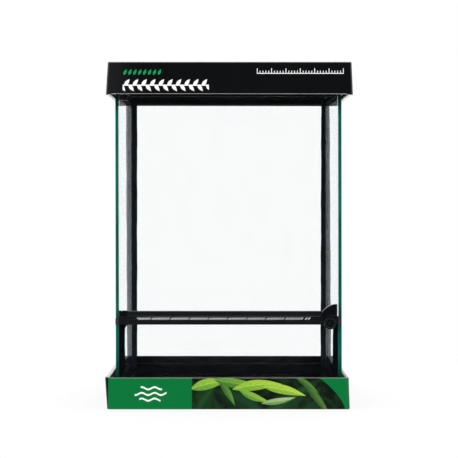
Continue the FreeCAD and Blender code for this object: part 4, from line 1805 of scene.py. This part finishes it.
@dataclass
class Mouldings:
    """Every part of moulded black plastic, under the name of its finish."""

    # One frame plastic in two tones, the rim lighter than the foot frame, and one handle plastic in three,
    # the rail lightest and the finger pull and hinge leaves darkest: these tones are painted light and shade.
    finishes: dict[str, MouldedPlastic] = field(default_factory=lambda: {
        "frames": MouldedPlastic(
            "frame_plastic", colour=(0.0022, 0.003, 0.004), specular=0.03, wear=0.02, dust=0.01,
        ),
        "rim": MouldedPlastic(
            "rim_plastic", colour=(0.0105, 0.014, 0.0185), specular=0.05, wear=0.08, dust=0.01,
        ),
        "bar": MouldedPlastic(
            "bar_plastic", colour=(0.008, 0.0092, 0.0115), roughness=0.34, specular=0.2, grain=0.35,
            depth=0.014, pale_ends=145.8,
        ),
        "rail": MouldedPlastic(
            "rail_plastic", colour=(0.0085, 0.0102, 0.0135), roughness=0.36, specular=0.2, grain=0.3,
            depth=0.01,
        ),
        "handle": MouldedPlastic(
            "handle_plastic", colour=(0.0028, 0.0036, 0.0048), roughness=0.3, specular=0.22, grain=0.3,
            depth=0.01, wear=0.75,
        ),
        "knob": MouldedPlastic(
            "knob_plastic", colour=(0.0055, 0.0075, 0.011), roughness=0.3, specular=0.22, grain=0.3,
            depth=0.01, wear=0.75,
        ),
        "screen": MouldedPlastic("screen_plastic", colour=(0.0075, 0.0075, 0.008), roughness=0.45),
        "shutter": MouldedPlastic("shutter_plastic", colour=(0.009, 0.009, 0.0095), roughness=0.48),
    })
    parts: tuple[tuple[str, MouldedPart], ...] = (
        ("frames", MouldedPart("foot_frame", "bottom_frame", "tank", "frame_plastic", 0.5)),
        ("rim", MouldedPart("rim_frame", "top_frame", "tank", "frame_plastic", 0.4)),
        ("bar", MouldedPart("air_bar", "vent_bar", "tank", "bar_plastic", 0.22)),
        ("rail", MouldedPart("rail_strip", "door_rail", "door", "handle_plastic", 0.4, 3)),
        ("handle", MouldedPart("finger_pull", "door_handle", "door", "handle_plastic", 0.3)),
        ("handle", MouldedPart("hinge_leaf_low", "lower_hinge_leaf", "door", "handle_plastic", 0.25)),
        ("handle", MouldedPart("hinge_leaf_high", "upper_hinge_leaf", "door", "handle_plastic", 0.25)),
        ("knob", MouldedPart("turn_knob", "lock_knob", "lock", "handle_plastic", 0.3)),
        ("screen", MouldedPart("cover_frame", "screen_frame", "screen", "screen_plastic", 0.5)),
        *(
            ("shutter", MouldedPart(
                f"inlet_shutter_{side}", f"{side}_cable_shutter", f"{side}_shutter", "shutter_plastic", 0.35,
            ))
            for side in ("left", "right")
        ),
    )

    def dress(self) -> None:
        """Moulds, dresses and fits every part."""
        made = {kind: finish.material() for kind, finish in self.finishes.items()}
        for kind, part in self.parts:
            fit(part.build(), part.body, part.slot, part.node, finishes=[made[kind]])


@dataclass
class Fasteners:
    """The hinge pins and the screw of the lock."""

    pin: Steel = Steel("pin_steel")
    screw: Steel = Steel("screw_steel", (0.11, 0.11, 0.115), roughness=0.34, grooves=(9.0, 2.0, 9.0))

    def dress(self) -> None:
        """Builds, dresses and fits them."""
        steel = self.pin.material()
        for name, node in (("hinge_pin_low", "lower_hinge_pin"), ("hinge_pin_high", "upper_hinge_pin")):
            fit(moulded(name, node, 0.3), "tank", "pin_steel", node, finishes=[steel])
        screw = moulded("knob_screw", "lock_screw", 0.2)
        fit(screw, "tank", "pin_steel", "lock_screw", finishes=[self.screw.material()])


# ---- Screen cover ---------------------------------------------------------------------
@dataclass
class WovenScreen:
    """Steel wire cloth, held in its frame by a ribbed rubber cord."""

    pitch: float = 2.3
    wire: float = 0.38
    press: float = 0.01
    crimp: float = 0.98
    cord_width: float = 3.4
    cord_corner: float = 4.0
    cord_ribs: int = 5
    rib_depth: float = 0.07
    corner_steps: int = 8

    def _wires(self, span: Span, along_x: bool) -> tuple[np.ndarray, list[Face]]:
        """Weaves the wires that run one way.

        Args:
            span: Box of the cloth.
            along_x: Whether they run from left to right.

        Returns:
            Their points and faces.
        """
        a, b = (0, 1) if along_x else (1, 0)
        low, high = (span.low[a], span.low[b]), (span.high[a], span.high[b])
        runs, rows = (int((h - l - 2 * self.wire) / self.pitch) for l, h in zip(low, high))
        start = [(l + h - n * self.pitch) / 2 for l, h, n in zip(low, high, (runs, rows))]
        middle = (span.low.z + span.high.z) / 2
        radius = self.wire / 2
        steps = np.arange(runs + 1)
        points, faces = [], []
        for row in range(rows + 1):
            s = start[0] + steps * self.pitch
            t = start[1] + row * self.pitch
            wave = np.where((steps + row) % 2 == (0 if along_x else 1), 1.0, -1.0)
            z = middle + wave * (radius - self.press) * self.crimp
            for ds, dz in ((1, 0), (0, 1), (-1, 0), (0, -1)):
                line = np.zeros((runs + 1, 3))
                line[:, a], line[:, b], line[:, 2] = s, t + ds * radius, z + dz * radius
                points.append(line)
            first = row * 4 * (runs + 1)
            for side in range(4):
                p, q = first + side * (runs + 1), first + (side + 1) % 4 * (runs + 1)
                faces += [(p + i, p + i + 1, q + i + 1, q + i) for i in range(runs)]
            for end in (0, runs):
                faces.append(tuple(first + side * (runs + 1) + end for side in range(4)))
        return np.concatenate(points), faces

    def build_cloth(self, name: str, along_x: bool) -> bpy.types.Object:
        """Builds the wires that run one way.

        Args:
            name: Name of the piece.
            along_x: Whether they run from left to right.

        Returns:
            The piece.
        """
        points, faces = self._wires(Span.of("screen_mesh"), along_x)
        return closed_piece(name, points.tolist(), faces)

    def build_cord(self) -> bpy.types.Object:
        """Builds the ribbed cord as one ring.

        Returns:
            The piece.
        """
        span = Span.of("mesh_spline")
        tall, wide, radius = span.high.z - span.low.z, self.cord_width, self.cord_corner
        section: list[tuple[float, float]] = []
        turns = self.cord_ribs * 8
        for step in range(turns):
            angle = math.tau * step / turns
            size = 1 - self.rib_depth * (1 + math.cos(angle * self.cord_ribs * 2)) / 2
            section.append((wide / 2 * size * math.cos(angle), tall / 2 * size * math.sin(angle)))
        middle_z = (span.low.z + span.high.z) / 2
        half_x = span.high.x - wide / 2 - radius
        low_y, high_y = span.low.y + wide / 2 + radius, span.high.y - wide / 2 - radius
        corners = ((-half_x, low_y), (half_x, low_y), (half_x, high_y), (-half_x, high_y))
        rings: list[Ring] = []
        for index, (cx, cy) in enumerate(corners):
            for step in range(self.corner_steps + 1):
                angle = math.pi * (1 + index / 2) + math.pi / 2 * step / self.corner_steps
                ux, uy = math.cos(angle), math.sin(angle)
                rings.append([
                    (cx + ux * (radius + r), cy + uy * (radius + r), middle_z + h) for r, h in section
                ])
        return skin_piece("ribbed_cord", rings, closed=True)

    def dress(self) -> None:
        """Builds, dresses and fits the cloth and the cord."""
        wire = Steel("wire_steel", (0.3, 0.3, 0.3), roughness=0.36, grooves=(3.0, 3.0, 3.0), depth=0.004)
        steel = wire.material()
        for name, along_x in (("wire_weft", True), ("wire_warp", False)):
            fit(self.build_cloth(name, along_x), "screen", "mesh_wire", "screen_mesh", finishes=[steel])
        fit(self.build_cord(), "screen", "spline_rubber", "mesh_spline", finishes=[RibbedRubber().material()])


# ---- Studio ---------------------------------------------------------------------------
@dataclass(frozen=True)
class SoftBox:
    """One soft lamp: its place and target in metres, its size and its power."""

    name: str
    place: Point
    target: Point
    size: float
    power: float


@dataclass
class Studio:
    """White floor, soft lamps, white surroundings and the camera.

    The surroundings light the object at ambient. Shiny faces see behind at the back and
    before in front, and through glass they show through.
    """

    lens: float = 133.91
    sensor: float = 36.0
    camera_place: Point = (0.0, -2.414, 0.28015)
    shift: tuple[float, float] = (0.0011, -0.0684)
    clip_end: float = 100.0
    ambient: float = 0.5
    behind: float = 1.15
    before: float = 0.018
    through: float = 1.135
    overhead: float = 1.3
    bounce: float = 1.5
    floor_reach: float = 30000.0
    floor_glow: float = 0.85
    floor_tones: tuple[Colour, Colour] = ((0.9, 0.9, 0.9), (0.93, 0.93, 0.93))
    floor_near: tuple[float, float] = (300.0, 700.0)
    floor_front: tuple[float, float] = (-220.0, -120.0)
    lamps: tuple[SoftBox, ...] = (
        SoftBox("key_lamp", (-1.5, -2.0, 1.7), (0.0, 0.0, 0.2), 1.3, 26.0),
        SoftBox("fill_lamp", (1.9, -1.6, 1.1), (0.0, 0.0, 0.2), 1.4, 14.0),
        SoftBox("top_lamp", (0.0, 0.3, 2.2), (0.0, 0.0, 0.2), 1.8, 28.0),
        SoftBox("rear_lamp", (0.6, 2.2, 1.5), (0.0, 0.0, 0.2), 1.6, 16.0),
    )

    def _paths(self, graph: Graph) -> tuple[Socket, Socket, Socket]:
        """Tells apart the rays that show the surroundings.

        Args:
            graph: Graph of the surroundings or the floor.

        Returns:
            Masks of rays straight from the camera, of rays that have only passed through
            glass, and of rays that have met nothing but shiny faces.
        """
        rays = graph.add("LightPath")
        smooth = graph.math("LESS_THAN", rays.outputs["Diffuse Depth"], 0.5)
        shiny = graph.math("GREATER_THAN", rays.outputs["Glossy Depth"], 0.5)
        mirrored = graph.math("MULTIPLY", smooth, shiny)
        straight = graph.math("SUBTRACT", smooth, mirrored)
        through = graph.math("MULTIPLY", straight, rays.outputs["Is Transmission Ray"])
        return rays.outputs["Is Camera Ray"], through, mirrored

    def surroundings(self) -> None:
        """Makes the world: white to look at, plain for light, dark in front for gloss."""
        world = bpy.data.worlds.new("studio_world")
        bpy.context.scene.world = world
        world.use_nodes = True
        world.node_tree.nodes.clear()
        graph = Graph(world.node_tree)
        _, y, z = graph.split(graph.add("TexCoord").outputs["Generated"])
        backdrop = graph.span(y, -0.3, 0.3, self.before, self.behind)
        gloss = graph.math("MULTIPLY", backdrop, graph.span(z, 0.2, 0.9, 1.0, self.overhead))
        camera, through, mirrored = self._paths(graph)
        strength = graph.level(mirrored, self.ambient, gloss)
        strength = graph.level(through, strength, self.through)
        background = graph.add("Background")
        graph.fill(background, Color=WHITE, Strength=graph.level(camera, strength, 1.0))
        graph.feed(graph.add("OutputWorld").inputs["Surface"], background.outputs[0])

    def floor(self) -> None:
        """Makes the pale floor, which keeps the object's shadow."""
        far = self.floor_reach
        corners = [(-far, -far, 0), (far, -far, 0), (far, far, 0), (-far, far, 0)]
        piece = mesh_piece("floor", corners, [(0, 1, 2, 3)])
        material = bpy.data.materials.new("floor_paper")
        material.cycles.emission_sampling = "NONE"
        material.use_nodes = True
        material.node_tree.nodes.clear()
        graph = Graph(material.node_tree)
        place = graph.place()
        fibre = graph.span(graph.noise(place, 0.8, 3.0), 0.3, 0.7)
        paper = graph.add("BsdfDiffuse")
        graph.fill(paper, Color=graph.blend(fibre, *self.floor_tones))
        camera, through, mirrored = self._paths(graph)
        gloss = graph.span(graph.split(place)[1], *self.floor_front, self.before, self.behind)
        strength = graph.level(through, self.bounce, self.through)
        strength = graph.level(mirrored, graph.level(camera, strength, 1.0), gloss)
        white = graph.add("Emission")
        graph.fill(white, Color=WHITE, Strength=strength)
        distance = graph.add("VectorMath", operation="LENGTH")
        graph.feed(distance.inputs[0], place)
        glow = graph.span(distance.outputs["Value"], *self.floor_near, self.floor_glow, 1.0)
        glow = graph.level(graph.math("MAXIMUM", camera, through), 0.5, glow)
        mix = graph.add("MixShader")
        factor = graph.math("MAXIMUM", glow, mirrored)
        for socket, value in zip(mix.inputs, (factor, paper.outputs[0], white.outputs[0])):
            graph.feed(socket, value)
        graph.feed(graph.add("OutputMaterial").inputs["Surface"], mix.outputs[0])
        piece.data.materials.append(material)

    def light(self) -> None:
        """Sets up the soft lamps, which only light and shine."""
        for lamp in self.lamps:
            data = bpy.data.lights.new(lamp.name, "AREA")
            data.shape = "SQUARE"
            data.size = lamp.size
            data.energy = lamp.power
            item = bpy.data.objects.new(lamp.name, data)
            aim = Vector(lamp.target) - Vector(lamp.place)
            item.location = lamp.place
            item.rotation_euler = aim.to_track_quat("-Z", "Y").to_euler()
            item.visible_camera = False
            item.visible_transmission = False
            bpy.context.scene.collection.objects.link(item)

    def camera(self) -> None:
        """Sets up the camera, level and square to the front."""
        data = bpy.data.cameras.new("front_camera")
        data.sensor_width = self.sensor
        data.lens = self.lens
        data.shift_x, data.shift_y = self.shift
        data.clip_end = self.clip_end
        item = bpy.data.objects.new("front_camera", data)
        item.location = self.camera_place
        item.rotation_euler = (math.pi / 2, 0.0, 0.0)
        bpy.context.scene.collection.objects.link(item)
        bpy.context.scene.camera = item

    def build(self) -> None:
        """Builds the whole studio."""
        bpy.context.scene.view_settings.view_transform = "Standard"
        self.camera()
        self.surroundings()
        self.floor()
        self.light()


def main() -> None:
    """Builds the object and its studio."""
    logging.basicConfig(level=logging.INFO, format="%(name)s: %(message)s")
    Studio().build()
    tray = CardBox(
        "card_tray", "bottom_tray", "tray", "tray_board", Opening.UP,
        out={"left": 0.6, "right": 0.6}, lean={"left": 2.9, "right": -1.4, "front": 0.3, "back": 0.6},
        inner_lean={"left": 0.7, "right": -2.6}, bow=0.3, fold_wear_and_highlight=0.0, front_edges=(0.35, 0.35),
        side_edges=(0.9, 0.0),
    )
    tray.dress(tray.build(), LaminatedCard("tray_card", worn_and_highlight=(0.42, 0.42, 0.42)), TrayArtwork())
    cap = CardBox(
        "card_cap", "top_cap", "cap", "cap_board", Opening.DOWN,
        out={"left": -0.2, "right": 3.0}, lean={"left": 2.6, "right": 1.8, "front": 0.5, "back": 0.8},
        inner_lean={"left": 0.2, "right": 2.7, "front": 0.3, "back": 0.5}, bow=0.4, edge_round=0.6,
        front_edges=(-0.3, 0.0), side_edges=(1.0, -0.5), back_edges=(-1.2, -0.78),
    )
    cap_card = LaminatedCard("cap_card", colour=(0.0012, 0.0026, 0.0046), specular=0.05)
    cap.dress(cap.build(), cap_card, CapArtwork())
    for part in (Glazing(), Seals(), Mouldings(), Fasteners(), WovenScreen()):
        part.dress()


if __name__ == "__main__":
    main()
